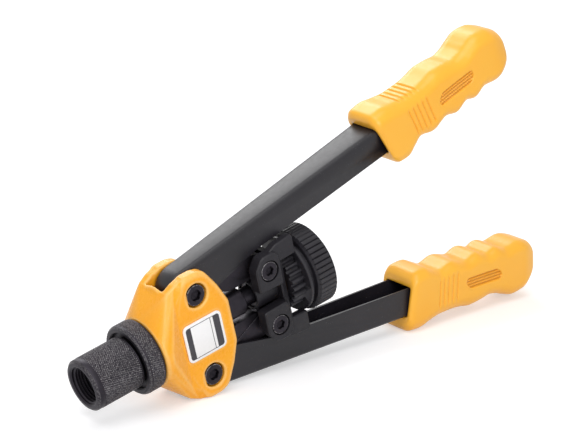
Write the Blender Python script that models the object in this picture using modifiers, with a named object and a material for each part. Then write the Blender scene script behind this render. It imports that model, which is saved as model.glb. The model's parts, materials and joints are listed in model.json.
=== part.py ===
"""Two-handed rivet nut tool, about 320 mm long, standing on its head and its lower grip.

Everything is first laid out in the tool's own frame: X runs along the pulling
axis from the nose towards the handles, Z points from the axis to the upper
handle and Y runs across the tool. X = 0 is where the handle pivots lie. An empty
tilts that frame to the way the tool stands. Units are metres.
"""

import math

import bmesh
import bpy
import numpy as np
from mathutils import Matrix, Vector

MM = 0.001
GAP = 0.3 * MM            # between pieces that touch
RUN = 0.3 * MM            # radial clearance of a joint

# Handles: how far each opens from the axis at rest, and their joints' places
HANDLE_ANGLE = math.radians(9.2)
PIVOT_OFFSET = 24.8 * MM
ELBOW_ALONG = 8.5 * MM
ELBOW_OUT = 5.5 * MM
LUG_X = 48.0 * MM
LUG_OFFSET = 16.9 * MM

# Nosepiece and lock ring
NOSE_FRONT = -71.4 * MM
NOSE_RADIUS = 15.0 * MM
NOSE_SHANK_RADIUS = 12.2 * MM
NOSE_BORE_RADIUS = 10.8 * MM
NOSE_INNER_RADIUS = 9.3 * MM
NOSE_BORE_DEPTH = 27.0 * MM
NOSE_SHANK_END = -15.0 * MM
RING_RADIUS = 20.4 * MM
RING_LENGTH = 11.0 * MM
RING_RECESS_RADIUS = 16.4 * MM
RING_RECESS_DEPTH = 2.4 * MM

# Head casting
HEAD_FRONT = -30.2 * MM
HEAD_HALF_WIDTH = 15.4 * MM
HEAD_REAR = 19.8 * MM
HEAD_TOP = 37.4 * MM
HEAD_EDGE = 2.2 * MM      # rounding of the cheeks' rims
BOSS_RADIUS = 21.0 * MM
BOSS_LENGTH = 5.0 * MM
BROW_X = -16.5 * MM       # where the nose's flare is highest, in front of the slots
BROW_TOP = 33.5 * MM
BROW_HALF_WIDTH = 17.8 * MM
SLOT_HALF_WIDTH = 8.0 * MM
SLOT_PLAY = 0.9 * MM      # between a handle's round end and the front of its slot
CHEEK_WALL = 2.4 * MM     # left between a screw's recess and the slot
CORE_HALF_HEIGHT = 11.6 * MM
PLATE_LENGTH = 25.6 * MM
PLATE_HEIGHT = 22.4 * MM
PLATE_CORNER = 3.0 * MM
PLATE_THICKNESS = 1.0 * MM
PLATE_SINK = 0.5 * MM

# Guide sleeve and pull rod
SLEEVE_RADIUS = 8.0 * MM
SLEEVE_FRONT = -11.4 * MM
SLEEVE_REAR = 35.0 * MM
ROD_RADIUS = 5.5 * MM
ROD_HEAD_RADIUS = 8.5 * MM
ROD_HEAD_FRONT = -42.0 * MM
ROD_HEAD_REAR = -14.6 * MM
ROD_SOCKET_RADIUS = 5.0 * MM
ROD_SOCKET_DEPTH = 18.0 * MM
ROD_END_RADIUS = 4.0 * MM
RETAINER_RADIUS = 7.2 * MM
RETAINER_THICKNESS = 1.2 * MM
RETAINER_GROOVE = 0.8 * MM
RETAINER_MOUTH = 3.0 * MM

# Handle channels, in the handle's own frame: S along, OUT away from the axis
WALL = 2.0 * MM
WEB_OUT = 12.5 * MM
RIM_OUT = -4.6 * MM
RIM_ROOT_OUT = -7.8 * MM
RIM_ROOT_ALONG = 26.0 * MM
RIM_BEND_ALONG = 48.0 * MM
RIM_PIVOT_OUT = -11.2 * MM
RIM_BEND_RADIUS = 30.0 * MM
CHANNEL_LENGTH = 212.0 * MM
CHANNEL_HALF_FRONT = 7.2 * MM
CHANNEL_HALF_GRIP = 9.5 * MM
BEND_RADIUS = 2.2 * MM

# Grips
GRIP_FRONT = 144.0 * MM
GRIP_END = 250.4 * MM
GRIP_BACK = 25.2 * MM     # highest swell of the back
GRIP_FINGERS = 14.0 * MM  # deepest flare on the finger side
GRIP_HALF_WIDTH = 14.4 * MM
GRIP_BACK_CORNER = 7.6 * MM
GRIP_FINGER_CORNER = 6.2 * MM
MOUTH_SLANT = 0.21        # the mouth leans back towards the fingers

# The grip's lines: share of its length, then share of its back, finger side or half width
BACK_LINE = ((0, 0.84), (0.028, 0.897), (0.094, 0.92), (0.17, 0.845), (0.245, 0.79),
             (0.34, 0.785), (0.415, 0.817), (0.48, 0.87), (0.565, 0.837), (0.63, 0.79),
             (0.69, 0.83), (0.735, 0.905), (0.81, 1.0), (0.88, 0.96), (0.925, 0.86),
             (0.96, 0.74), (0.985, 0.6), (1, 0.46))
FINGER_LINE = ((0, 0.87), (0.038, 0.957), (0.113, 1.0), (0.189, 0.8), (0.264, 0.6),
               (0.358, 0.78), (0.462, 0.59), (0.542, 0.765), (0.623, 0.575), (0.684, 0.715),
               (0.764, 0.52), (0.858, 0.63), (0.925, 0.5), (0.97, 0.27), (1, -0.1))
HALF_LINE = ((0, 0.965), (0.038, 1.0), (0.13, 0.985), (0.28, 0.925), (0.57, 0.9),
             (0.8, 0.935), (0.88, 0.93), (0.95, 0.81), (0.985, 0.63), (1, 0.42))

# Links and pins
LINK_HALF_WIDTH = 4.8 * MM
LINK_ELBOW_RADIUS = 4.2 * MM
LINK_LUG_RADIUS = 6.6 * MM
ELBOW_PIN_RADIUS = 2.8 * MM
LUG_BUSH_RADIUS = 4.0 * MM
LUG_PLAY = 0.6 * MM       # the link's larger eye is loose on its bush
PIVOT_BUSH_RADIUS = 5.4 * MM

# Screws: shank radius, head radius, head height, socket across flats, recess
PIVOT_SHANK = 4.0 * MM
PIVOT_HEAD_RADIUS = 6.0 * MM
PIVOT_HEAD_HEIGHT = 4.0 * MM
PIVOT_RECESS_RADIUS = 7.0 * MM
PIVOT_RECESS_DEPTH = HEAD_HALF_WIDTH - SLOT_HALF_WIDTH - CHEEK_WALL
PIVOT_SOCKET = 6.0 * MM
PIVOT_NUT = 12.0 * MM
PIVOT_NUT_HEIGHT = 3.6 * MM
LUG_SHANK = 3.0 * MM
LUG_HEAD_RADIUS = 5.5 * MM
LUG_HEAD_HEIGHT = 3.4 * MM
LUG_RECESS_RADIUS = 6.2 * MM
LUG_RECESS_DEPTH = 4.0 * MM
LUG_SOCKET = 5.0 * MM
LUG_NUT = 9.6 * MM
LUG_NUT_HEIGHT = 3.0 * MM
TIP_OVER = 0.5 * MM       # how far a screw's tip stands out of its nut

# Carriage
LUG_FACE = 16.7 * MM
LUG_INNER = 8.8 * MM
LUG_FRONT = 39.2 * MM
LUG_REAR = 56.0 * MM
LUG_LOW = 6.0 * MM
LUG_TOP = 26.4 * MM
ARM_FACE = 14.6 * MM
ARM_LOW = 17.3 * MM
ARM_TOP_FRONT = 27.8 * MM
ARM_TOP_REAR = 30.2 * MM
ARM_REAR = 68.4 * MM
WALL_HALF_HEIGHT = 21.5 * MM
BACK_WALL_FRONT = 55.4 * MM
BACK_WALL_REAR = 58.8 * MM
CARRIAGE_BOSS_RADIUS = 9.2 * MM
CARRIAGE_BOSS_FRONT = 41.4 * MM

# Knob
WASHER_RADIUS = 12.0 * MM
WASHER_THICKNESS = 1.2 * MM
KNOB_RADIUS = 24.2 * MM
FLANGE_RADIUS = KNOB_RADIUS - 1.9 * MM
NECK_RADIUS = KNOB_RADIUS - 4.8 * MM
HUB_RADIUS = KNOB_RADIUS - 6.6 * MM
HUB_RIBS = 24
HUB_RIB_DEPTH = 2.2 * MM
FLANGE_FRONT = 68.9 * MM
FLANGE_THICKNESS = 2.0 * MM
KNOB_FRONT = 73.6 * MM
KNOB_LENGTH = 13.4 * MM
KNOB_FLUTES = 48
KNOB_FLUTE_DEPTH = 0.9 * MM
KNOB_DISH_RADIUS = 10.5 * MM
KNOB_DISH_DEPTH = 4.0 * MM
KNOB_NUT = 13.0 * MM
KNOB_NUT_HEIGHT = 3.2 * MM

ROUND_STEPS = 40
KNOB_STEPS = 48
MIDDLE_STEPS = 28
SMALL_STEPS = 20


def clear_scene():
    for obj in list(bpy.data.objects):
        bpy.data.objects.remove(obj, do_unlink=True)


def new_collection(name):
    collection = bpy.data.collections.new(name)
    bpy.context.scene.collection.children.link(collection)
    return collection


def material(name, color, roughness, metallic):
    mat = bpy.data.materials.new(name)
    mat.use_nodes = True
    shader = mat.node_tree.nodes["Principled BSDF"]
    shader.inputs["Base Color"].default_value = (*color, 1.0)
    shader.inputs["Roughness"].default_value = roughness
    shader.inputs["Metallic"].default_value = metallic
    mat.diffuse_color = (*color, 1.0)
    return mat


def empty(name, parent, location=(0, 0, 0), rotation=(0, 0, 0)):
    obj = bpy.data.objects.new(name, None)
    obj.empty_display_size = 0.01
    obj.location = location
    obj.rotation_euler = rotation
    obj.parent = parent
    PARTS.objects.link(obj)
    return obj


def place(obj, collection, parent, location=(0, 0, 0), rotation=(0, 0, 0)):
    collection.objects.link(obj)
    obj.parent = parent
    obj.location = location
    obj.rotation_euler = rotation
    return obj


def finish(obj, look, angle=35):
    """Gives a node its own material and smooths its round faces."""
    mat = material(obj.name + "_" + look[0], *look[1:])
    obj.data.materials.clear()
    obj.data.materials.append(mat)
    obj.data.shade_smooth()
    obj.data.set_sharp_from_angle(angle=math.radians(angle))
    return obj


def rounded(corners, steps=5):
    """Outline through corners (u, v, radius), each one replaced by an arc of its radius."""
    points = []
    count = len(corners)
    for i, (u, v, radius) in enumerate(corners):
        here = Vector((u, v))
        before = (Vector(corners[i - 1][:2]) - here).normalized()
        after = (Vector(corners[(i + 1) % count][:2]) - here).normalized()
        if radius <= 0:
            points.append(tuple(here))
            continue
        half = before.angle(after) / 2
        reach = radius / math.tan(half)
        centre = here + (before + after).normalized() * (radius / math.sin(half))
        start = here + before * reach - centre
        end = here + after * reach - centre
        turn = math.atan2(start.x * end.y - start.y * end.x, start.dot(end))
        for k in range(steps + 1):
            angle = turn * k / steps
            c, s = math.cos(angle), math.sin(angle)
            points.append((centre.x + start.x * c - start.y * s,
                           centre.y + start.x * s + start.y * c))
    return points


def arc(cu, cv, radius, first, last, steps):
    """Points on an arc, angles in degrees."""
    angles = [math.radians(first + (last - first) * k / steps) for k in range(steps + 1)]
    return [(cu + radius * math.cos(a), cv + radius * math.sin(a)) for a in angles]


def plate_mesh(name, outline, half, bevel=0.0, segments=1):
    """Flat outline in X and Z, as thick as 2 * half along Y, its rims bevelled."""
    curve = bpy.data.curves.new(name + "_outline", "CURVE")
    curve.dimensions = "2D"
    curve.fill_mode = "BOTH"
    curve.extrude = half
    spline = curve.splines.new("POLY")
    spline.points.add(len(outline) - 1)
    for point, (u, v) in zip(spline.points, outline):
        point.co = (u, v, 0, 1)
    spline.use_cyclic_u = True
    temp = bpy.data.objects.new(name + "_outline", curve)
    bpy.context.scene.collection.objects.link(temp)
    graph = bpy.context.evaluated_depsgraph_get()
    mesh = bpy.data.meshes.new_from_object(temp.evaluated_get(graph))
    bpy.data.objects.remove(temp)
    mesh.transform(Matrix.Rotation(math.radians(90), 4, "X"))
    bm = bmesh.new()
    bm.from_mesh(mesh)
    bmesh.ops.remove_doubles(bm, verts=bm.verts, dist=1e-6)
    bmesh.ops.dissolve_limit(bm, angle_limit=0.001, verts=bm.verts, edges=bm.edges)
    if bevel:
        rims = [e for e in bm.edges if abs(e.verts[0].co.y - e.verts[1].co.y) < 1e-6]
        bmesh.ops.bevel(bm, geom=rims, offset=bevel, segments=segments, profile=0.5,
                        affect="EDGES")
    bmesh.ops.recalc_face_normals(bm, faces=bm.faces)
    bm.to_mesh(mesh)
    bm.free()
    mesh.name = name
    return mesh


def plate(name, outline, half, parent, collection, across=0.0, bevel=0.0, segments=1):
    mesh = plate_mesh(name, outline, half, bevel, segments)
    return place(bpy.data.objects.new(name, mesh), collection, parent, (0, across, 0))


def turned(name, profile, parent, collection, axis="X", location=(0, 0, 0), steps=ROUND_STEPS):
    """Turned shape. The profile holds (radius, height) and runs down the outer side.

    Height is measured along the tool's X, or along -Y for a cross screw or pin.
    """
    mesh = bpy.data.meshes.new(name)
    closed = profile[0][0] > 0
    edges = [(i, i + 1) for i in range(len(profile) - 1)]
    if closed:
        edges.append((len(profile) - 1, 0))
    mesh.from_pydata([(r, 0, h) for r, h in profile], edges, [])
    turn = (0, math.radians(90), 0) if axis == "X" else (math.radians(90), 0, 0)
    obj = place(bpy.data.objects.new(name, mesh), collection, parent, location, turn)
    screw = obj.modifiers.new("Turn", "SCREW")
    screw.steps = steps
    screw.render_steps = steps
    screw.use_merge_vertices = True
    screw.merge_threshold = 1e-6
    return obj


def tube_profile(inner, outer, low, high, chamfer=0.0):
    c = chamfer
    return [(outer - c, high), (outer, high - c), (outer, low + c), (outer - c, low),
            (inner, low), (inner, high)] if c else [
            (outer, high), (outer, low), (inner, low), (inner, high)]


def rod_profile(radius, low, high, chamfer=0.0):
    c = chamfer
    return [(0, high), (radius - c, high), (radius, high - c), (radius, low + c),
            (radius - c, low), (0, low)] if c else [
            (0, high), (radius, high), (radius, low), (0, low)]


def baked(obj):
    """Replaces an object's mesh by its evaluated one, so that it can be cut again."""
    graph = bpy.context.evaluated_depsgraph_get()
    mesh = bpy.data.meshes.new_from_object(obj.evaluated_get(graph))
    obj.modifiers.clear()
    obj.data = mesh
    return obj


def cut(obj, cutter, operation="DIFFERENCE"):
    """Adds a Boolean with a hidden cutter."""
    cutter.hide_render = True
    cutter.display_type = "WIRE"
    boolean = obj.modifiers.new(cutter.name, "BOOLEAN")
    boolean.operation = operation
    boolean.solver = "EXACT"
    boolean.object = cutter
    return obj


def box(name, low, high, parent):
    """Cutter block between two corners of its parent's frame."""
    bm = bmesh.new()
    bmesh.ops.create_cube(bm, size=1.0)
    size = [b - a for a, b in zip(low, high)]
    middle = [(a + b) / 2 for a, b in zip(low, high)]
    bmesh.ops.scale(bm, vec=size, verts=bm.verts)
    bmesh.ops.translate(bm, vec=middle, verts=bm.verts)
    mesh = bpy.data.meshes.new(name)
    bm.to_mesh(mesh)
    bm.free()
    return place(bpy.data.objects.new(name, mesh), CUTTERS, parent)


def cross_hole(name, radius, low, high, x, z, parent, steps=SMALL_STEPS):
    """Cutter for a round hole across the tool, between low and high on Y."""
    profile = rod_profile(radius, -high, -low)
    return turned(name, profile, parent, CUTTERS, "Y", (x, 0, z), steps)


def axial_hole(name, radius, low, high, parent):
    return turned(name, rod_profile(radius, low, high), parent, CUTTERS)


def hexagon(name, flats, low, high, x, z, parent, collection):
    """Hexagonal prism across the tool, between low and high on Y."""
    bm = bmesh.new()
    radius = flats / math.sqrt(3)
    bmesh.ops.create_cone(bm, cap_ends=True, segments=6, radius1=radius, radius2=radius,
                          depth=high - low)
    mesh = bpy.data.meshes.new(name)
    bm.to_mesh(mesh)
    bm.free()
    return place(bpy.data.objects.new(name, mesh), collection, parent,
                 (x, (low + high) / 2, z), (math.radians(90), 0, 0))


YELLOW = ("paint", (0.85, 0.36, 0.03), 0.38, 0.0)
BLACK_PAINT = ("black_coat", (0.035, 0.034, 0.037), 0.5, 0.0)
BLACK_STEEL = ("blackened_steel", (0.05, 0.047, 0.052), 0.42, 0.7)
STEEL = ("bright_steel", (0.45, 0.45, 0.46), 0.3, 1.0)
BLACK_PLASTIC = ("moulded_nylon", (0.028, 0.027, 0.03), 0.5, 0.0)
BRONZE = ("bronze", (0.55, 0.38, 0.18), 0.35, 1.0)
WHITE = ("bare_plate", (0.8, 0.8, 0.79), 0.35, 0.0)
GRIP_ORANGE = ("grip_plastic", (0.9, 0.38, 0.03), 0.42, 0.0)


def head_boss_mesh(name):
    """Nose boss: round at the front, flaring into the flat cheeks at the back."""
    count = ROUND_STEPS
    bm = bmesh.new()

    def section(function):
        angles = [2 * math.pi * (i + 0.5) / count for i in range(count)]
        return [bm.verts.new(function(a)) for a in angles]

    def circle(x, radius):
        return lambda a: (x, radius * math.cos(a), radius * math.sin(a))

    def square(power, value):
        return math.copysign(abs(value) ** power, value)

    def brow(a):
        x = BROW_X - BOSS_LENGTH * math.cos(a) ** 2
        y = BROW_HALF_WIDTH * math.cos(a)
        return (x, y, BROW_TOP * square(0.55, math.sin(a)))

    def cheek(a):
        y = (HEAD_HALF_WIDTH - GAP) * square(0.3, math.cos(a))
        z = (HEAD_TOP - HEAD_EDGE) * square(0.62, math.sin(a))
        return (ridge(z), y, z)

    def inner(a):
        x, y, z = cheek(a)
        return (HEAD_REAR / 2, y * 0.9, z * 0.9)

    edge = 1.2 * MM
    rings = [section(circle(HEAD_FRONT, BOSS_RADIUS - edge)),
             section(circle(HEAD_FRONT + edge, BOSS_RADIUS)),
             section(circle(HEAD_FRONT + BOSS_LENGTH, BOSS_RADIUS)),
             section(brow), section(cheek), section(inner)]
    for first, second in zip(rings, rings[1:]):
        for i in range(count):
            j = (i + 1) % count
            bm.faces.new((first[i], first[j], second[j], second[i]))
    bmesh.ops.triangulate(bm, faces=bm.faces)
    bm.faces.new(reversed(rings[0]))
    bmesh.ops.triangulate(bm, faces=[bm.faces.new(rings[-1])])
    bmesh.ops.recalc_face_normals(bm, faces=bm.faces)
    mesh = bpy.data.meshes.new(name)
    bm.to_mesh(mesh)
    bm.free()
    return mesh


def ridge(z):
    """Where the nose's flare meets the cheek, along X, at a height z."""
    share = min(abs(z) / HEAD_TOP, 1.0)
    return -HEAD_REAR * (0.98 - 0.78 * share ** 2.4)


def cheek_outline():
    """Cheek from the side: two rounded lobes over the pivots, a blunt corner at the back."""
    upper = [(HEAD_REAR, 0.335 * HEAD_TOP, 3 * MM), (0.76 * HEAD_REAR, 0.65 * HEAD_TOP, 14 * MM),
             (0.42 * HEAD_REAR, 0.96 * HEAD_TOP, 7 * MM), (0.12 * HEAD_REAR, HEAD_TOP, 5 * MM),
             (-0.34 * HEAD_REAR, HEAD_TOP, 6 * MM), (-0.68 * HEAD_REAR, 0.71 * HEAD_TOP, 6 * MM),
             (-0.92 * HEAD_REAR, 0.37 * HEAD_TOP, 4 * MM)]
    lower = [(x, -z, radius) for x, z, radius in reversed(upper)]
    return rounded(upper + lower, 4)


def head_slot(name, sign):
    """The gap between the cheeks in which one handle swings."""
    front = -(WEB_OUT + SLOT_PLAY)
    low, high = CORE_HALF_HEIGHT, 1.3 * HEAD_TOP
    z = (low, high) if sign > 0 else (-high, -low)
    return box(name, (front, -SLOT_HALF_WIDTH, z[0]),
               (1.4 * HEAD_REAR, SLOT_HALF_WIDTH, z[1]), AXIS)


def make_head():
    head = plate("head_casting", cheek_outline(), HEAD_HALF_WIDTH, AXIS, PARTS,
                 bevel=HEAD_EDGE, segments=3)
    boss = place(bpy.data.objects.new("head_boss", head_boss_mesh("head_boss")), CUTTERS, AXIS)
    cut(head, boss, "UNION")
    for side, sign in SIDES:
        cut(head, head_slot(side + "_slot", sign))
        z = sign * PIVOT_OFFSET
        wide = 2 * HEAD_HALF_WIDTH
        deep = HEAD_HALF_WIDTH - PIVOT_RECESS_DEPTH
        cut(head, cross_hole(side + "_pivot_hole", PIVOT_SHANK + GAP, -wide, wide, 0, z, AXIS))
        cut(head, cross_hole(side + "_recess_front", PIVOT_RECESS_RADIUS, -wide, -deep, 0, z,
                             AXIS, MIDDLE_STEPS))
        cut(head, cross_hole(side + "_recess_back", PIVOT_RECESS_RADIUS, deep, wide, 0, z,
                             AXIS, MIDDLE_STEPS))
    cut(head, axial_hole("nose_thread", NOSE_SHANK_RADIUS + GAP, HEAD_FRONT - 2 * MM,
                         SLEEVE_FRONT - GAP, AXIS))
    cut(head, axial_hole("sleeve_seat", SLEEVE_RADIUS + GAP, SLEEVE_FRONT - 2 * MM,
                         HEAD_REAR + 2 * MM, AXIS))
    seat = plate("plate_seat", plate_outline(GAP), 2 * MM, AXIS, CUTTERS,
                 across=-(HEAD_HALF_WIDTH - PLATE_SINK + 2 * MM))
    cut(head, seat)
    return finish(head, YELLOW, 28)


def plate_outline(grow=0.0):
    half_x = PLATE_LENGTH / 2 + grow
    half_z = PLATE_HEIGHT / 2 + grow
    middle = -1.0 * MM
    r = PLATE_CORNER + grow
    return rounded([(middle - half_x, -half_z, r), (middle + half_x, -half_z, r),
                    (middle + half_x, half_z, r), (middle - half_x, half_z, r)], 4)


def make_name_plate():
    """Bare plate, left without any name, let into the near cheek."""
    floor = HEAD_HALF_WIDTH - PLATE_SINK + GAP
    middle = -(floor + PLATE_THICKNESS / 2)
    obj = plate("name_plate", plate_outline(), PLATE_THICKNESS / 2, AXIS, PARTS,
                across=middle)
    return finish(obj, WHITE)


def make_nosepiece():
    shoulder = HEAD_FRONT - GAP - RING_LENGTH + RING_RECESS_DEPTH - GAP
    step = NOSE_FRONT + NOSE_BORE_DEPTH
    edge = 1.4 * MM
    profile = [
        (NOSE_INNER_RADIUS, NOSE_SHANK_END),
        (NOSE_SHANK_RADIUS - 0.8 * MM, NOSE_SHANK_END),
        (NOSE_SHANK_RADIUS, NOSE_SHANK_END - 0.8 * MM),
        (NOSE_SHANK_RADIUS, shoulder),
        (NOSE_RADIUS - 1.6 * MM, shoulder),
        (NOSE_RADIUS, shoulder - 2.6 * MM),
        (NOSE_RADIUS, NOSE_FRONT + edge),
        (NOSE_RADIUS - edge, NOSE_FRONT),
        (NOSE_BORE_RADIUS + 0.8 * MM, NOSE_FRONT),
        (NOSE_BORE_RADIUS, NOSE_FRONT + 0.8 * MM),
        (NOSE_BORE_RADIUS, step),
        (NOSE_INNER_RADIUS, step)]
    return finish(turned("nosepiece", profile, AXIS, PARTS), BLACK_STEEL)


def make_lock_ring():
    rear = HEAD_FRONT - GAP
    front = rear - RING_LENGTH
    floor = front + RING_RECESS_DEPTH
    inner = NOSE_SHANK_RADIUS + GAP
    edge = 1.0 * MM
    profile = [
        (inner, rear), (RING_RADIUS - edge, rear), (RING_RADIUS, rear - edge),
        (RING_RADIUS, front + edge), (RING_RADIUS - edge, front),
        (RING_RECESS_RADIUS + 0.8 * MM, front), (RING_RECESS_RADIUS, front + 0.8 * MM),
        (RING_RECESS_RADIUS, floor), (inner, floor)]
    return finish(turned("lock_ring", profile, AXIS, PARTS), BLACK_STEEL)


def cap_screw(name, shank, head_radius, head_height, socket, head_face, tip, x, z, parent):
    """Socket cap screw across the tool, its head towards the near side."""
    seat = head_face - head_height
    edge = 0.7 * MM
    profile = [(0, head_face), (head_radius - edge, head_face),
               (head_radius, head_face - edge), (head_radius, seat), (shank, seat),
               (shank, -tip + 0.5 * MM), (shank - 0.5 * MM, -tip), (0, -tip)]
    screw = turned(name, profile, parent, PARTS, "Y", (x, 0, z), SMALL_STEPS)
    key = hexagon(name + "_key", socket, -head_face - 1 * MM, -head_face + 0.62 * head_height,
                  x, z, parent, CUTTERS)
    cut(screw, key)
    return finish(screw, BLACK_STEEL)


def hex_nut(name, flats, hole, low, high, x, z, parent):
    nut = hexagon(name, flats, low, high, x, z, parent, PARTS)
    cut(nut, cross_hole(name + "_hole", hole, low - 1 * MM, high + 1 * MM, x, z, parent, 16))
    return finish(nut, BLACK_STEEL)


def make_pivot_hardware(side, sign):
    z = sign * PIVOT_OFFSET
    seat = HEAD_HALF_WIDTH - PIVOT_RECESS_DEPTH + GAP
    far = seat + PIVOT_NUT_HEIGHT + TIP_OVER
    cap_screw(side + "_pivot_screw", PIVOT_SHANK, PIVOT_HEAD_RADIUS, PIVOT_HEAD_HEIGHT,
              PIVOT_SOCKET, seat + PIVOT_HEAD_HEIGHT, far, 0, z, AXIS)
    hex_nut(side + "_pivot_nut", PIVOT_NUT, PIVOT_SHANK + GAP, seat, seat + PIVOT_NUT_HEIGHT,
            0, z, AXIS)
    half = SLOT_HALF_WIDTH - GAP
    bush = turned(side + "_pivot_bush",
                  tube_profile(PIVOT_SHANK + GAP, PIVOT_BUSH_RADIUS, -half, half),
                  AXIS, PARTS, "Y", (0, 0, z), SMALL_STEPS)
    finish(bush, BRONZE)


def make_guide_sleeve():
    profile = tube_profile(ROD_RADIUS + RUN, SLEEVE_RADIUS, SLEEVE_FRONT, SLEEVE_REAR,
                           0.7 * MM)
    sleeve = turned("guide_sleeve", profile, AXIS, PARTS, steps=MIDDLE_STEPS)
    return finish(sleeve, BLACK_STEEL)


def channel_half_width(along):
    """Outer half width of the channel: slim at the pivot, as wide as the grip's core."""
    share = along / GRIP_FRONT
    return CHANNEL_HALF_FRONT + (CHANNEL_HALF_GRIP - CHANNEL_HALF_FRONT) * min(share, 1.0)


def channel_web():
    """Line of the channel's back, from its end forwards and round the pivot."""
    front = arc(0, 0, WEB_OUT, 90, 236, 14)
    return [(CHANNEL_LENGTH, WEB_OUT), (GRIP_FRONT, WEB_OUT)] + front


def channel_rim():
    """Line of the walls' free edge, from the pivot to the channel's end."""
    bend = rounded([(0, RIM_PIVOT_OUT, 0), (RIM_ROOT_ALONG, RIM_ROOT_OUT, RIM_BEND_RADIUS),
                    (RIM_BEND_ALONG, RIM_OUT, RIM_BEND_RADIUS), (GRIP_FRONT, RIM_OUT, 0)], 4)
    return bend + [(CHANNEL_LENGTH, RIM_OUT)]


def make_channel(side, parent):
    """Pressed channel: two walls and a back, folded from one sheet."""
    bm = bmesh.new()
    web, rim = channel_web(), channel_rim()
    rows = []
    for sign in (-1, 1):
        rows.append([bm.verts.new((s, sign * channel_half_width(s), out))
                     for s, out in web + rim])
    for row in rows:
        bm.faces.new(row)
    folds = []
    for i in range(len(web) - 1):
        bm.faces.new((rows[0][i], rows[0][i + 1], rows[1][i + 1], rows[1][i]))
        for row in rows:
            folds.append(bm.edges.get((row[i], row[i + 1])))
    bmesh.ops.recalc_face_normals(bm, faces=bm.faces)
    bmesh.ops.bevel(bm, geom=folds, offset=BEND_RADIUS, segments=3, profile=0.5,
                    affect="EDGES")
    lower = min(bm.faces, key=lambda f: f.calc_center_median().y)
    if lower.normal.y > 0:
        bmesh.ops.reverse_faces(bm, faces=bm.faces)
    mesh = bpy.data.meshes.new(side + "_handle_channel")
    bm.to_mesh(mesh)
    bm.free()
    obj = place(bpy.data.objects.new(mesh.name, mesh), PARTS, parent)
    skin = obj.modifiers.new("Sheet", "SOLIDIFY")
    skin.thickness = WALL
    skin.offset = -1
    skin.use_even_offset = True
    wide = 20 * MM
    cut(obj, cross_hole(side + "_channel_pivot", PIVOT_BUSH_RADIUS + RUN, -wide, wide, 0, 0,
                        parent))
    cut(obj, cross_hole(side + "_channel_elbow", ELBOW_PIN_RADIUS + GAP, -wide, wide,
                        ELBOW_ALONG, ELBOW_OUT, parent))
    return finish(obj, BLACK_PAINT)


def make_elbow_pin(side, parent):
    half = channel_half_width(ELBOW_ALONG) - 0.2 * MM
    pin = turned(side + "_elbow_pin", rod_profile(ELBOW_PIN_RADIUS, -half, half, 0.4 * MM),
                 parent, PARTS, "Y", (ELBOW_ALONG, 0, ELBOW_OUT), SMALL_STEPS)
    return finish(pin, STEEL)


def grip_lines(share):
    """Back, finger side and half width of the grip at a share of its length."""
    back = GRIP_BACK * np.interp(share, *zip(*BACK_LINE))
    fingers = -GRIP_FINGERS * np.interp(share, *zip(*FINGER_LINE))
    return back, fingers, GRIP_HALF_WIDTH * np.interp(share, *zip(*HALF_LINE))


def rounded_box(half, low, high, low_corner, high_corner):
    """Half of a section, from the finger side's middle round to the back's middle."""
    tall = (high - low) / 2
    low_corner, high_corner = min(low_corner, tall, half), min(high_corner, tall, half)
    finger = arc(half - low_corner, low + low_corner, low_corner, 270, 360, 4)
    back = arc(half - high_corner, high - high_corner, high_corner, 0, 90, 4)
    return finger + back


def make_grip(side, parent):
    """Moulded grip: rounded sections with finger hollows inside and a swell at the end."""
    length = GRIP_END - GRIP_FRONT
    bm = bmesh.new()
    rings = []
    for k in range(37):
        share = k / 36
        back, fingers, half = grip_lines(share)
        right = rounded_box(half, fingers, back, GRIP_FINGER_CORNER, GRIP_BACK_CORNER)
        slant = MOUTH_SLANT * max(0.0, 1 - 4 * share)
        points = right + [(-y, z) for y, z in reversed(right)]
        rings.append([bm.verts.new((GRIP_FRONT + share * length + slant * (WEB_OUT - z), y, z))
                      for y, z in points])
    around = len(rings[0])
    for first, second in zip(rings, rings[1:]):
        for i in range(around):
            j = (i + 1) % around
            bm.faces.new((first[i], first[j], second[j], second[i]))
    bm.faces.new(rings[0])
    bm.faces.new(rings[-1])
    bmesh.ops.recalc_face_normals(bm, faces=bm.faces)
    mesh = bpy.data.meshes.new(side + "_grip")
    bm.to_mesh(mesh)
    bm.free()
    obj = place(bpy.data.objects.new(mesh.name, mesh), PARTS, parent)
    wide = CHANNEL_HALF_GRIP + GAP
    cut(obj, box(side + "_grip_pocket", (GRIP_FRONT - length / 10, -wide, RIM_OUT - GAP),
                 (CHANNEL_LENGTH + GAP, wide, WEB_OUT + GAP), parent))
    return finish(obj, GRIP_ORANGE)


def link_outline(length):
    """Tapered bar: the elbow's eye at the origin and the lug's larger eye at the far end."""
    small, large = LINK_ELBOW_RADIUS, LINK_LUG_RADIUS
    a = 90 + math.degrees(math.asin((large - small) / length))
    return arc(0, 0, small, a, 360 - a, 10) + arc(length, 0, large, -a, a, 18)


def elbow_place():
    """The elbow pin at rest, in the upper half of the tool's frame."""
    c, s = math.cos(HANDLE_ANGLE), math.sin(HANDLE_ANGLE)
    x = ELBOW_ALONG * c - ELBOW_OUT * s
    z = PIVOT_OFFSET + ELBOW_ALONG * s + ELBOW_OUT * c
    return x, z


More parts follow.
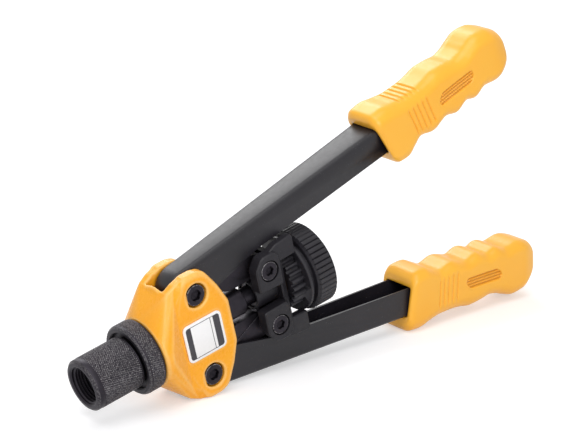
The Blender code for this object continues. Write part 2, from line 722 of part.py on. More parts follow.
def make_link(side, half_frame):
    """Link from the handle's elbow pin to the carriage's lug."""
    x, z = elbow_place()
    dx, dz = LUG_X - x, LUG_OFFSET - z
    frame = empty(side + "_link_elbow", half_frame, (x, 0, z), (0, -math.atan2(dz, dx), 0))
    length = math.hypot(dx, dz)
    link = plate(side + "_link", link_outline(length), LINK_HALF_WIDTH, frame, PARTS)
    wide = 2 * LUG_INNER
    half = LUG_INNER - GAP
    cut(link, cross_hole(side + "_link_hub", LINK_LUG_RADIUS - GAP, -half, half, length, 0,
                         frame, MIDDLE_STEPS), "UNION")
    cut(link, cross_hole(side + "_link_eye", ELBOW_PIN_RADIUS + RUN, -wide, wide, 0, 0, frame))
    cut(link, cross_hole(side + "_link_lug_eye", LUG_BUSH_RADIUS + LUG_PLAY, -wide, wide,
                         length, 0, frame))
    return finish(link, BLACK_STEEL)


def lug_outline(sign):
    corners = [(LUG_FRONT, LUG_LOW, 1.2 * MM), (LUG_REAR, LUG_LOW - 0.4 * MM, 1.2 * MM),
               (LUG_REAR + 0.4 * MM, LUG_TOP, 4.5 * MM), (LUG_X - 3.6 * MM, LUG_TOP, 5 * MM),
               (LUG_FRONT, 19.6 * MM, 5 * MM)]
    return rounded([(x, sign * z, r) for x, z, r in corners], 3)


def arm_outline(sign):
    root = LUG_X + GAP
    corners = [(root, ARM_LOW + GAP, 0), (ARM_REAR, ARM_LOW + 1 * MM, 1 * MM),
               (ARM_REAR, ARM_TOP_REAR, 1.6 * MM), (LUG_REAR, ARM_TOP_FRONT + 1 * MM, 4 * MM),
               (root, LUG_TOP - 1.5 * MM, 0)]
    return rounded([(x, sign * z, r) for x, z, r in corners], 2)


def back_wall_outline():
    low, high, tall = BACK_WALL_FRONT, BACK_WALL_REAR, WALL_HALF_HEIGHT
    return [(low, -tall), (high, -tall), (high, tall), (low, tall)]


def make_carriage():
    """Yoke: a bored boss, a cross wall, four lugs and four arms over the knob's hub."""
    inside = 0.5 * MM
    boss = rod_profile(CARRIAGE_BOSS_RADIUS, CARRIAGE_BOSS_FRONT, BACK_WALL_REAR - inside,
                       0.6 * MM)
    carriage = baked(turned("carriage", boss, AXIS, PARTS, steps=MIDDLE_STEPS))
    wall = plate("carriage_wall", back_wall_outline(), ARM_FACE - inside, AXIS, CUTTERS,
                 bevel=0.8 * MM)
    cut(carriage, wall, "UNION")
    for side, sign in SIDES:
        for hand, way in (("near", -1), ("far", 1)):
            lug = plate(f"{side}_{hand}_lug", lug_outline(sign), (LUG_FACE - LUG_INNER) / 2,
                        AXIS, CUTTERS, way * (LUG_FACE + LUG_INNER) / 2, bevel=0.8 * MM)
            arm_inner = LUG_INNER + inside
            arm = plate(f"{side}_{hand}_arm", arm_outline(sign), (ARM_FACE - arm_inner) / 2,
                        AXIS, CUTTERS, way * (ARM_FACE + arm_inner) / 2, bevel=0.6 * MM)
            cut(carriage, lug, "UNION")
            cut(carriage, arm, "UNION")
        z = sign * LUG_OFFSET
        wide = 2 * LUG_FACE
        deep = LUG_FACE - LUG_RECESS_DEPTH
        cut(carriage, cross_hole(side + "_lug_hole", LUG_SHANK + GAP, -wide, wide, LUG_X, z,
                                 AXIS))
        cut(carriage, cross_hole(side + "_lug_recess", LUG_RECESS_RADIUS, -wide, -deep,
                                 LUG_X, z, AXIS))
        cut(carriage, cross_hole(side + "_lug_recess_back", LUG_RECESS_RADIUS, deep, wide,
                                 LUG_X, z, AXIS))
    cut(carriage, axial_hole("carriage_bore", ROD_RADIUS + RUN, CARRIAGE_BOSS_FRONT - 2 * MM,
                             BACK_WALL_REAR + 2 * MM, AXIS))
    cut(carriage, axial_hole("carriage_counterbore", RETAINER_RADIUS + RUN,
                             CARRIAGE_BOSS_FRONT - 2 * MM, retainer_rear() + RUN, AXIS))
    return finish(carriage, BLACK_PAINT)


def retainer_rear():
    return CARRIAGE_BOSS_FRONT + 2.2 * MM


def make_lug_hardware(side, sign):
    z = sign * LUG_OFFSET
    seat = LUG_FACE - LUG_RECESS_DEPTH + GAP
    nut_face = seat + LUG_NUT_HEIGHT
    cap_screw(side + "_lug_screw", LUG_SHANK, LUG_HEAD_RADIUS, LUG_HEAD_HEIGHT, LUG_SOCKET,
              seat + LUG_HEAD_HEIGHT, nut_face + TIP_OVER, LUG_X, z, AXIS)
    hex_nut(side + "_lug_nut", LUG_NUT, LUG_SHANK + GAP, seat, nut_face, LUG_X, z, AXIS)
    half = LUG_INNER - GAP
    bush = turned(side + "_lug_bush",
                  tube_profile(LUG_SHANK + GAP, LUG_BUSH_RADIUS, -half, half),
                  AXIS, PARTS, "Y", (LUG_X, 0, z), SMALL_STEPS)
    finish(bush, STEEL)


def knob_rear():
    return KNOB_FRONT + KNOB_LENGTH


def make_pull_rod():
    """Pull rod: a socket for the mandrel in front, the knob's seat and thread behind."""
    rear = retainer_rear()
    groove_low = rear - RETAINER_THICKNESS - 0.1 * MM
    groove_high = rear + 0.1 * MM
    shoulder = KNOB_FRONT + 2 * MM
    end = knob_rear() - 0.2 * MM
    groove = ROD_RADIUS - RETAINER_GROOVE
    profile = [
        (0, end), (ROD_END_RADIUS - 0.5 * MM, end), (ROD_END_RADIUS, end - 0.5 * MM),
        (ROD_END_RADIUS, shoulder), (ROD_RADIUS, shoulder), (ROD_RADIUS, groove_high),
        (groove, groove_high), (groove, groove_low), (ROD_RADIUS, groove_low),
        (ROD_RADIUS, ROD_HEAD_REAR), (ROD_HEAD_RADIUS, ROD_HEAD_REAR),
        (ROD_HEAD_RADIUS, ROD_HEAD_FRONT + 0.8 * MM),
        (ROD_HEAD_RADIUS - 0.8 * MM, ROD_HEAD_FRONT), (ROD_SOCKET_RADIUS, ROD_HEAD_FRONT),
        (ROD_SOCKET_RADIUS, ROD_HEAD_FRONT + ROD_SOCKET_DEPTH),
        (0, ROD_HEAD_FRONT + ROD_SOCKET_DEPTH + 2.5 * MM)]
    return finish(turned("pull_rod", profile, AXIS, PARTS, steps=MIDDLE_STEPS), BLACK_STEEL)


def make_retainer():
    rear = retainer_rear()
    inner = ROD_RADIUS - RETAINER_GROOVE + 0.15 * MM
    clip = turned("rod_retaining_ring",
                  tube_profile(inner, RETAINER_RADIUS, rear - RETAINER_THICKNESS, rear),
                  AXIS, PARTS, steps=MIDDLE_STEPS)
    wide = 2 * RETAINER_THICKNESS
    cut(clip, box("retaining_ring_mouth", (rear - wide, -RETAINER_MOUTH / 2, 0),
                  (rear + wide, RETAINER_MOUTH / 2, 2 * RETAINER_RADIUS), AXIS))
    return finish(clip, BLACK_STEEL)


def make_thrust_washer():
    low = BACK_WALL_REAR + GAP
    profile = tube_profile(ROD_RADIUS + RUN, WASHER_RADIUS, low, low + WASHER_THICKNESS)
    return finish(turned("thrust_washer", profile, AXIS, PARTS, steps=MIDDLE_STEPS), BRONZE)


def ribbed_outline(count, outer, depth, rib):
    """Round outline with ribs; rib holds places on one pitch and how deep each one lies."""
    points = []
    for i in range(count):
        for share, drop in rib:
            a = 2 * math.pi * (i + share) / count
            radius = outer - drop * depth
            points.append((radius * math.cos(a), radius * math.sin(a)))
    return points


def axial_prism(name, outline, low, high, parent, collection):
    """Outline in Y and Z, drawn out along the tool's axis."""
    mesh = plate_mesh(name, outline, (high - low) / 2)
    obj = bpy.data.objects.new(name, mesh)
    return place(obj, collection, parent, ((low + high) / 2, 0, 0), (0, 0, math.radians(90)))


def knob_profile():
    """Round body of the knob: flange, neck, grip ring and dished back."""
    edge = 1.2 * MM
    flange_rear = FLANGE_FRONT + FLANGE_THICKNESS
    rear = knob_rear()
    return [
        (0, rear - KNOB_DISH_DEPTH), (KNOB_DISH_RADIUS, rear - KNOB_DISH_DEPTH),
        (KNOB_DISH_RADIUS, rear), (KNOB_RADIUS - edge, rear), (KNOB_RADIUS, rear - edge),
        (KNOB_RADIUS, KNOB_FRONT + edge), (KNOB_RADIUS - edge, KNOB_FRONT),
        (NECK_RADIUS, KNOB_FRONT), (NECK_RADIUS, flange_rear),
        (FLANGE_RADIUS - 0.4 * MM, flange_rear), (FLANGE_RADIUS, flange_rear - 0.4 * MM),
        (FLANGE_RADIUS, FLANGE_FRONT + 0.4 * MM), (FLANGE_RADIUS - 0.4 * MM, FLANGE_FRONT),
        (HUB_RADIUS - 3 * MM, FLANGE_FRONT), (0, FLANGE_FRONT)]


def make_knob():
    """Moulded knob: ribbed hub under the carriage's arms and a fluted grip ring."""
    knob = turned("knob", knob_profile(), AXIS, PARTS, steps=KNOB_STEPS)
    flutes = ribbed_outline(KNOB_FLUTES, KNOB_RADIUS + 0.1 * MM, KNOB_FLUTE_DEPTH,
                            ((0, 0), (0.62, 0), (0.81, 1)))
    cut(knob, axial_prism("knob_flutes", flutes, FLANGE_FRONT - 2 * MM, knob_rear() + 2 * MM,
                          AXIS, CUTTERS), "INTERSECT")
    hub_front = BACK_WALL_REAR + 2 * GAP + WASHER_THICKNESS
    bars = ribbed_outline(HUB_RIBS, HUB_RADIUS, HUB_RIB_DEPTH,
                          ((0.04, 0.3), (0.2, 0), (0.4, 0), (0.56, 0.3), (0.62, 1), (0.98, 1)))
    hub = axial_prism("knob_hub", bars, hub_front, FLANGE_FRONT + 0.5 * MM, AXIS, CUTTERS)
    cut(knob, hub, "UNION")
    shoulder = KNOB_FRONT + 2 * MM
    cut(knob, axial_hole("knob_bore", ROD_RADIUS + GAP, hub_front - 2 * MM, shoulder + GAP,
                         AXIS))
    cut(knob, axial_hole("knob_bore_rear", ROD_END_RADIUS + GAP, shoulder - 1 * MM,
                         knob_rear() + 2 * MM, AXIS))
    return finish(knob, BLACK_PLASTIC)


def make_knob_nut():
    low = knob_rear() - KNOB_DISH_DEPTH + GAP
    bm = bmesh.new()
    radius = KNOB_NUT / math.sqrt(3)
    bmesh.ops.create_cone(bm, cap_ends=True, segments=6, radius1=radius, radius2=radius,
                          depth=KNOB_NUT_HEIGHT)
    mesh = bpy.data.meshes.new("knob_nut")
    bm.to_mesh(mesh)
    bm.free()
    nut = place(bpy.data.objects.new("knob_nut", mesh), PARTS, AXIS,
                (low + KNOB_NUT_HEIGHT / 2, 0, 0), (0, math.radians(90), 0))
    cut(nut, axial_hole("knob_nut_hole", ROD_END_RADIUS + GAP, low - 2 * MM,
                        low + KNOB_NUT_HEIGHT + 2 * MM, AXIS))
    return finish(nut, STEEL)


def make_handle(side, sign):
    """One handle with its grip, elbow pin and link; the lower one is the upper one turned."""
    roll = 0.0 if sign > 0 else math.pi
    half_frame = empty(side + "_half", AXIS, rotation=(roll, 0, 0))
    pivot = empty(side + "_handle_pivot", half_frame, (0, 0, PIVOT_OFFSET),
                  (0, -HANDLE_ANGLE, 0))
    make_channel(side, pivot)
    make_grip(side, pivot)
    make_elbow_pin(side, pivot)
    make_link(side, half_frame)


def world_points(obj, graph):
    evaluated = obj.evaluated_get(graph)
    mesh = evaluated.to_mesh()
    points = np.array([evaluated.matrix_world @ v.co for v in mesh.vertices])
    evaluated.to_mesh_clear()
    return points


def stand_up():
    """Tilts the tool until head and lower grip both touch the floor, and centres it."""
    bpy.context.view_layer.update()
    graph = bpy.context.evaluated_depsgraph_get()
    points = {obj.name: world_points(obj, graph) for obj in PARTS.objects if obj.type == "MESH"}

    def low(name, tilt):
        p = points[name]
        return (p[:, 0] * math.sin(tilt) + p[:, 2] * math.cos(tilt)).min()

    flat, steep = 0.0, math.radians(40)
    for _ in range(50):
        tilt = (flat + steep) / 2
        if low("lower_grip", tilt) < low("head_casting", tilt):
            flat = tilt
        else:
            steep = tilt
    tilt = (flat + steep) / 2
    turn = np.array(Matrix.Rotation(-tilt, 3, "Y"))
    everything = np.concatenate(list(points.values())) @ turn.T
    lows, highs = everything.min(axis=0), everything.max(axis=0)
    AXIS.rotation_euler = (0, -tilt, 0)
    AXIS.location = (-(lows[0] + highs[0]) / 2, 0, -lows[2])
    bpy.context.view_layer.update()


SIDES = (("upper", 1), ("lower", -1))

clear_scene()
PARTS = new_collection("rivet_nut_tool")
CUTTERS = new_collection("cutters")
AXIS = empty("tool_axis", None)

make_head()
make_name_plate()
make_nosepiece()
make_lock_ring()
make_guide_sleeve()
for side_name, side_sign in SIDES:
    make_pivot_hardware(side_name, side_sign)
    make_handle(side_name, side_sign)
    make_lug_hardware(side_name, side_sign)
make_carriage()
make_pull_rod()
make_retainer()
make_thrust_washer()
make_knob()
make_knob_nut()
stand_up()
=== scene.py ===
"""Looks of a two-handed rivet nut tool: knurled steel, painted casting, moulded grips and a studio."""

import json
import math

import bmesh
import bpy
import numpy as np
from mathutils import Matrix, Vector


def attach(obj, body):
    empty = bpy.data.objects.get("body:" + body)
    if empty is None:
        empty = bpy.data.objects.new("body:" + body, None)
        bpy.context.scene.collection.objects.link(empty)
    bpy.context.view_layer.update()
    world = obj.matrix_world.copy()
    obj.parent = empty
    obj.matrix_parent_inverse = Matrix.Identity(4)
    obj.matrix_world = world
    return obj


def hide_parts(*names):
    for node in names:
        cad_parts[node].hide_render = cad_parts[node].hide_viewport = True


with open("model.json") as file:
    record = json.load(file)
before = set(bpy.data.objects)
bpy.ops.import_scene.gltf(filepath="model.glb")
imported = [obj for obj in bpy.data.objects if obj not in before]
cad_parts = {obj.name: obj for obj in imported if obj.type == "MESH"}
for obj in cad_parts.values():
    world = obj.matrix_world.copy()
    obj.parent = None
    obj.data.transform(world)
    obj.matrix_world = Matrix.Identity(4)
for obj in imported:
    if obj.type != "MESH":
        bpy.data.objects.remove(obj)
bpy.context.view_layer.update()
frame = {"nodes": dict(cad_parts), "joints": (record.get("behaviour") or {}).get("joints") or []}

bl_info = {
    "name": "Rivet Nut Tool Looks",
    "version": (1, 0, 0),
    "blender": (4, 5, 0),
    "location": "3D View > Sidebar > Tool Looks",
    "description": "Detailed pieces, finishes and studio for a two-handed rivet nut tool",
    "category": "Object",
}

MM = 0.001
HANDLE_ANGLE = math.radians(9.2)
SIDES = ("upper", "lower")
JOINTS = {joint["name"]: joint for joint in frame["joints"]}
MATERIALS = {}


def tool_frame():
    """Matrix from the tool's own frame, X along its axis, and how far off it its pivots are."""
    along = Vector(JOINTS["carriage_slide"]["axis"]).normalized()
    across = Vector((0, 1, 0))
    outward = along.cross(across)
    upper = Vector(JOINTS["upper_handle_hinge"]["pos_m"])
    lower = Vector(JOINTS["lower_handle_hinge"]["pos_m"])
    turn = Matrix((along, across, outward)).transposed().to_4x4()
    return Matrix.Translation((upper + lower) / 2) @ turn, (upper - lower).length / 2


TOOL, PIVOT_OFFSET = tool_frame()


def side_frame(side):
    """The tool's frame, turned over for the lower side."""
    return TOOL @ Matrix.Rotation(0 if side == "upper" else math.pi, 4, "X")


def handle_frame(side):
    """Matrix from a handle's frame: X along the handle from its pivot, Z away from the axis."""
    lift = Matrix.Translation((0, 0, PIVOT_OFFSET))
    return side_frame(side) @ lift @ Matrix.Rotation(-HANDLE_ANGLE, 4, "Y")


def srgb(code):
    """Linear colour of a hex value such as #ffae2b."""
    values = [int(code[i:i + 2], 16) / 255 for i in (1, 3, 5)]
    linear = [v / 12.92 if v <= 0.04045 else ((v + 0.055) / 1.055) ** 2.4 for v in values]
    return (*linear, 1.0)


def add(tree, kind, values=None, links=None):
    """Adds a shader node, sets its settings and sockets, and links its inputs."""
    node = tree.nodes.new("ShaderNode" + kind)
    for name, value in (values or {}).items():
        if isinstance(name, int) or name in node.inputs:
            node.inputs[name].default_value = value
        else:
            setattr(node, name, value)
    for name, source in (links or {}).items():
        tree.links.new(source, node.inputs[name])
    return node


def new_material(name, specular=0.5, metallic=0.0):
    """A material with its tree, its shader and the object's own coordinates."""
    mat = bpy.data.materials.new(name)
    mat.use_nodes = True
    tree = mat.node_tree
    shader = tree.nodes["Principled BSDF"]
    shader.inputs["Specular IOR Level"].default_value = specular
    shader.inputs["Metallic"].default_value = metallic
    place = add(tree, "TexCoord").outputs["Object"]
    return mat, tree, shader, place


def clouded(tree, place, size, colours, low, high, most=1.0, detail=2.0, rough=0.5):
    """Two colours in clouds of a size: gives the noise, the second one's share and the mix."""
    noise = add(tree, "TexNoise", {"Scale": 1 / size, "Detail": detail, "Roughness": rough},
                {"Vector": place}).outputs["Fac"]
    share = add(tree, "MapRange", {"From Min": low, "From Max": high, "To Max": most},
                {"Value": noise}).outputs["Result"]
    first, second = colours
    mix = add(tree, "Mix", {"data_type": "RGBA", 6: srgb(first), 7: srgb(second)}, {0: share})
    return noise, share, mix.outputs[2]


def surface(tree, shader, colour, gloss, roughness, height, strength, depth, span=(0.3, 0.7)):
    """Gives a shader its colour, a roughness that follows a pattern and relief from another."""
    spread = add(tree, "MapRange", {"From Min": span[0], "From Max": span[1],
                                    "To Min": roughness[0], "To Max": roughness[1]},
                 {"Value": gloss})
    relief = add(tree, "Bump", {"Strength": strength, "Distance": depth}, {"Height": height})
    tree.links.new(colour, shader.inputs["Base Color"])
    tree.links.new(spread.outputs["Result"], shader.inputs["Roughness"])
    tree.links.new(relief.outputs["Normal"], shader.inputs["Normal"])
    return relief


def painted_casting(*colours):
    """Satin stove paint on a die casting: soft orange peel, and a paler colour on edges as painted
    highlight.
    """
    mat, tree, shader, place = new_material("satin_stove_paint_on_casting", specular=0.3)
    _, _, coat = clouded(tree, place, 14 * MM, colours, 0.35, 0.65, most=0.4, detail=3.0)
    # Paler colour on edges that stand out: painted highlight
    wear = add(tree, "Attribute", {"attribute_name": "wear"})
    rub_and_highlight = add(tree, "Math", {"operation": "MULTIPLY", 1: 0.4}, {0: wear.outputs["Fac"]})
    highlit_coat = add(tree, "Mix", {"data_type": "RGBA", 7: srgb("#ffd890")},
               {0: rub_and_highlight.outputs[0], 6: coat})
    patchy = add(tree, "TexNoise", {"Scale": 1 / (3 * MM)}, {"Vector": place})
    peel = add(tree, "TexNoise", {"Scale": 1 / (1.6 * MM)}, {"Vector": place})
    surface(tree, shader, highlit_coat.outputs[2], patchy.outputs["Fac"], (0.22, 0.32),
            peel.outputs["Fac"], 0.5, 0.05 * MM)
    return mat


def moulded_grip_plastic(*colours):
    """Soft moulded vinyl: even colour, painted shade in the grooves and panels, spark-eroded grain,
    broad sheen.
    """
    mat, tree, shader, place = new_material("moulded_vinyl")
    _, _, body = clouded(tree, place, 22 * MM, colours, 0.35, 0.65, most=0.35)
    grime = add(tree, "Attribute", {"attribute_name": "grime"})
    dull = add(tree, "Math", {"operation": "MULTIPLY", 1: 0.7}, {0: grime.outputs["Fac"]})
    # Darker orange in the grooves and panels, by their depth: painted shade
    skin = add(tree, "Mix", {"data_type": "RGBA", 7: srgb("#bd7014")},
               {0: dull.outputs[0], 6: body})
    patchy = add(tree, "TexNoise", {"Scale": 1 / (2 * MM)}, {"Vector": place})
    # The real grain is finer: it is drawn at 0.45 mm to show
    grain = add(tree, "TexNoise", {"Scale": 1 / (0.45 * MM)}, {"Vector": place})
    spark = add(tree, "Bump", {"Strength": 0.6, "Distance": 0.02 * MM},
                {"Height": grain.outputs["Fac"]})
    sink = add(tree, "TexNoise", {"Scale": 1 / (9 * MM)}, {"Vector": place})
    waves = surface(tree, shader, skin.outputs[2], patchy.outputs["Fac"], (0.28, 0.38),
                    sink.outputs["Fac"], 0.3, 0.12 * MM)
    tree.links.new(spark.outputs["Normal"], waves.inputs["Normal"])
    return mat


def black_powder_coat(name, colours, roughness, lump, specular):
    """Powder coat: pebbled skin that breaks the reflections up, a few dust specks."""
    mat, tree, shader, place = new_material(name, specular)
    _, _, coat = clouded(tree, place, 25 * MM, colours, 0.35, 0.65, detail=3.0)
    dust = add(tree, "TexNoise", {"Scale": 1 / (0.7 * MM), "Detail": 0.0}, {"Vector": place})
    speck = add(tree, "MapRange", {"From Min": 0.78, "From Max": 0.82, "To Max": 0.15},
                {"Value": dust.outputs["Fac"]})
    skin = add(tree, "Mix", {"data_type": "RGBA", 7: srgb("#7c7a7e")},
               {0: speck.outputs["Result"], 6: coat})
    patchy = add(tree, "TexNoise", {"Scale": 1 / (2.5 * MM)}, {"Vector": place})
    pebbles = add(tree, "TexNoise", {"Scale": 1 / lump}, {"Vector": place})
    surface(tree, shader, skin.outputs[2], patchy.outputs["Fac"], roughness,
            pebbles.outputs["Fac"], 0.5, 0.03 * MM)
    return mat


def glass_filled_nylon(*colours):
    """Moulded glass-filled nylon: dull charcoal with a flow-marked, slightly dusty skin."""
    mat, tree, shader, place = new_material("glass_filled_nylon", specular=0.42)
    flow, _, skin = clouded(tree, place, 5 * MM, colours, 0.35, 0.7, detail=4.0, rough=0.6)
    # Glass fibres are far thinner: their marks are drawn at 0.5 mm to show
    fibres = add(tree, "TexNoise", {"Scale": 1 / (0.5 * MM)}, {"Vector": place})
    surface(tree, shader, skin, flow, (0.46, 0.6), fibres.outputs["Fac"], 0.6, 0.025 * MM)
    return mat


def black_oxide_steel(name, colours, rubbed_and_highlit, rub_and_highlight, roughness):
    """Turned steel, hot blackened: brown and blue clouds, tool marks, bright where rubbed, with
    painted highlights on edges, teeth and chamfers.
    """
    mat, tree, shader, place = new_material(name, metallic=0.85)
    _, _, oxide = clouded(tree, place, 6 * MM, colours, 0.3, 0.7, detail=4.0, rough=0.6)
    # Bright speckles where edges are marked: rubbed oxide together with painted highlights
    speckle_noise = add(tree, "TexNoise", {"Scale": 1 / (0.8 * MM), "Detail": 3.0, "Roughness": 0.65},
                {"Vector": place})
    chipped_and_glinting = add(tree, "MapRange", {"From Min": 0.42, "From Max": 0.62, "To Max": rub_and_highlight},
                  {"Value": speckle_noise.outputs["Fac"]})
    wear = add(tree, "Attribute", {"attribute_name": "wear"})
    edge = add(tree, "Math", {"operation": "MULTIPLY"},
               {0: wear.outputs["Fac"], 1: chipped_and_glinting.outputs["Result"]})
    skin = add(tree, "Mix", {"data_type": "RGBA", 7: srgb(rubbed_and_highlit)},
               {0: edge.outputs[0], 6: oxide})
    # Tool marks run round the axis and are drawn at 0.5 mm, coarser than in life, to show
    along = add(tree, "Mapping", {"Rotation": (0, math.atan2(TOOL[2][0], TOOL[0][0]), 0),
                                  "Scale": (6, 1, 1)}, {"Vector": place})
    marks = add(tree, "TexNoise", {"Scale": 1 / (0.5 * MM), "Detail": 3.0, "Roughness": 0.6},
                {"Vector": along.outputs["Vector"]}).outputs["Fac"]
    surface(tree, shader, skin.outputs[2], marks, roughness, marks, 0.5, 0.012 * MM)
    return mat


def plated_steel(*colours):
    """Zinc-plated steel: pale, slightly clouded metal with fine turning marks."""
    mat, tree, shader, place = new_material("zinc_plated_steel", metallic=1.0)
    _, _, zinc = clouded(tree, place, 3 * MM, colours, 0.0, 1.0, detail=3.0)
    # Turning marks are finer in life: they are drawn at 0.4 mm to show
    marks = add(tree, "TexNoise", {"Scale": 1 / (0.4 * MM)}, {"Vector": place}).outputs["Fac"]
    surface(tree, shader, zinc, marks, (0.24, 0.4), marks, 0.4, 0.01 * MM)
    return mat


def oiled_bronze(*colours):
    """Sintered bronze soaked in oil: open-pored and brown-black."""
    mat, tree, shader, place = new_material("oiled_sintered_bronze", metallic=1.0)
    # Pores are smaller in life: they are drawn at 0.4 mm to show
    grain, pores, metal = clouded(tree, place, 0.4 * MM, colours, 0.55, 0.7)
    surface(tree, shader, metal, pores, (0.34, 0.6), grain, 0.5, 0.02 * MM, span=(0, 1))
    return mat


def enamel(name, colours, roughness):
    """Printed enamel on sheet aluminium: hard, even and faintly speckled."""
    mat, tree, shader, place = new_material(name)
    specks, _, film = clouded(tree, place, 1.2 * MM, colours, 0.0, 1.0)
    surface(tree, shader, film, specks, roughness, specks, 0.4, 0.006 * MM)
    return mat


def mesh_object(bm, name, place=None):
    """Object made from a mesh, which is used up, at its place."""
    if place:
        bm.transform(place)
    mesh = bpy.data.meshes.new(name)
    bm.to_mesh(mesh)
    bm.free()
    obj = bpy.data.objects.new(name, mesh)
    bpy.context.scene.collection.objects.link(obj)
    return obj


def finish_piece(bm, name, body, nodes, mats, place=None, angle=35):
    """Makes a piece, smooths its round faces, gives it its materials and ties it to its body."""
    obj = mesh_object(bm, name, place)
    obj.data.shade_smooth()
    obj.data.set_sharp_from_angle(angle=math.radians(angle))
    for mat in (mats,) if isinstance(mats, str) else mats:
        obj.data.materials.append(MATERIALS[mat])
    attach(obj, body)
    if nodes:
        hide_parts(*nodes)


def turned(bm, points, axis, steps, closed=True):
    """Spins the points of a profile round an axis into a turned shape."""
    verts = [bm.verts.new(point) for point in points]
    edges = [bm.edges.new(pair) for pair in zip(verts, verts[1:])]
    if closed:
        edges.append(bm.edges.new((verts[-1], verts[0])))
    bmesh.ops.spin(bm, geom=verts + edges, cent=(0, 0, 0), axis=axis, dvec=(0, 0, 0),
                   angle=2 * math.pi, steps=steps, use_merge=True)
    bmesh.ops.remove_doubles(bm, verts=bm.verts, dist=1e-7)
    bmesh.ops.recalc_face_normals(bm, faces=bm.faces)


def round_edges(bm, edges, offset, segments=2):
    """Rounds edges and gives back the faces that this makes."""
    made = bmesh.ops.bevel(bm, geom=edges, offset=offset, offset_type="OFFSET",
                           segments=segments, profile=0.5, affect="EDGES",
                           clamp_overlap=True, material=-1)
    return made["faces"]


def node_points(node, matrix=TOOL):
    """A CAD node's points in a frame."""
    inverse = matrix.inverted()
    return [inverse @ v.co for v in frame["nodes"][node].data.vertices]


def node_box(node, matrix=TOOL):
    """Lowest and highest corner of a node in a frame."""
    points = node_points(node, matrix)
    return [Vector([end(p[k] for p in points) for k in range(3)]) for end in (min, max)]


def largest_radius(node):
    """Largest radius of a node about the tool's axis."""
    return max(math.hypot(p.y, p.z) for p in node_points(node))


# Angle in degrees below which neighbouring faces of a node count as one flat face
FLAT_ANGLE = 0.4


def node_copy(node, round_by=0.0, sharper_than=30):
    """Merged copy of a CAD node's mesh, its flat faces joined and its sharp edges rounded."""
    bm = bmesh.new()
    bm.from_mesh(frame["nodes"][node].data)
    wear = bm.faces.layers.float.new("wear")
    bmesh.ops.remove_doubles(bm, verts=bm.verts, dist=1e-6)
    bmesh.ops.dissolve_limit(bm, angle_limit=math.radians(FLAT_ANGLE), verts=bm.verts,
                             edges=bm.edges)
    if round_by:
        sharp = [e for e in bm.edges
                 if len(e.link_faces) == 2
                 and abs(e.calc_face_angle(0)) > math.radians(sharper_than)]
        # Rounded faces get the mark for rubbed edges and painted highlights
        for face in round_edges(bm, sharp, round_by):
            face[wear] = 1.0
    return bm


def smoothed(node, body, mat, round_by=0.0, angle=35, sharper_than=30):
    """Stands a merged and rounded copy in for a node whose shape is already right."""
    bm = node_copy(node, round_by, sharper_than)
    finish_piece(bm, node + "_finished", body, [node], mat, angle=angle)


def joined(base, shapes, voxel=0.0, rounds=0):
    """Mesh of a base with shapes joined to it or cut from it, its edges cast soft if asked."""
    for operation, shape in shapes:
        step = base.modifiers.new(shape.name, "BOOLEAN")
        step.operation = operation
        step.solver = "EXACT"
        step.object = shape
    if voxel:
        remesh = base.modifiers.new("Remesh", "REMESH")
        remesh.mode = "VOXEL"
        remesh.voxel_size = voxel
        smooth = base.modifiers.new("Smooth", "SMOOTH")
        smooth.factor = 0.5
        smooth.iterations = rounds
    bpy.context.view_layer.update()
    graph = bpy.context.evaluated_depsgraph_get()
    mesh = bpy.data.meshes.new_from_object(base.evaluated_get(graph))
    bm = bmesh.new()
    bm.from_mesh(mesh)
    for obj in [base] + [shape for _, shape in shapes]:
        bpy.data.objects.remove(obj)
    return bm


def box(low, high):
    """Box between two corners."""
    bm = bmesh.new()
    bmesh.ops.create_cube(bm, size=1)
    bmesh.ops.scale(bm, vec=[b - a for a, b in zip(low, high)], verts=bm.verts)
    bmesh.ops.translate(bm, vec=[(a + b) / 2 for a, b in zip(low, high)], verts=bm.verts)
    return bm


def drill(name, radius, low, high):
    """Round cutter along the tool's axis."""
    bm = bmesh.new()
    bmesh.ops.create_cone(bm, cap_ends=True, segments=64, radius1=radius, radius2=radius,
                          depth=high - low)
    place = Matrix.Translation(((low + high) / 2, 0, 0)) @ Matrix.Rotation(math.pi / 2, 4, "Y")
    return mesh_object(bm, name, TOOL @ place)


def hull(name, points):
    """Closed convex shape round points of the tool's frame, in millimetres."""
    bm = bmesh.new()
    for point in points:
        bm.verts.new([value * MM for value in point])
    bmesh.ops.convex_hull(bm, input=bm.verts)
    loose = [v for v in bm.verts if not v.link_faces]
    bmesh.ops.delete(bm, geom=loose, context="VERTS")
    bmesh.ops.recalc_face_normals(bm, faces=bm.faces)
    return mesh_object(bm, name, TOOL)


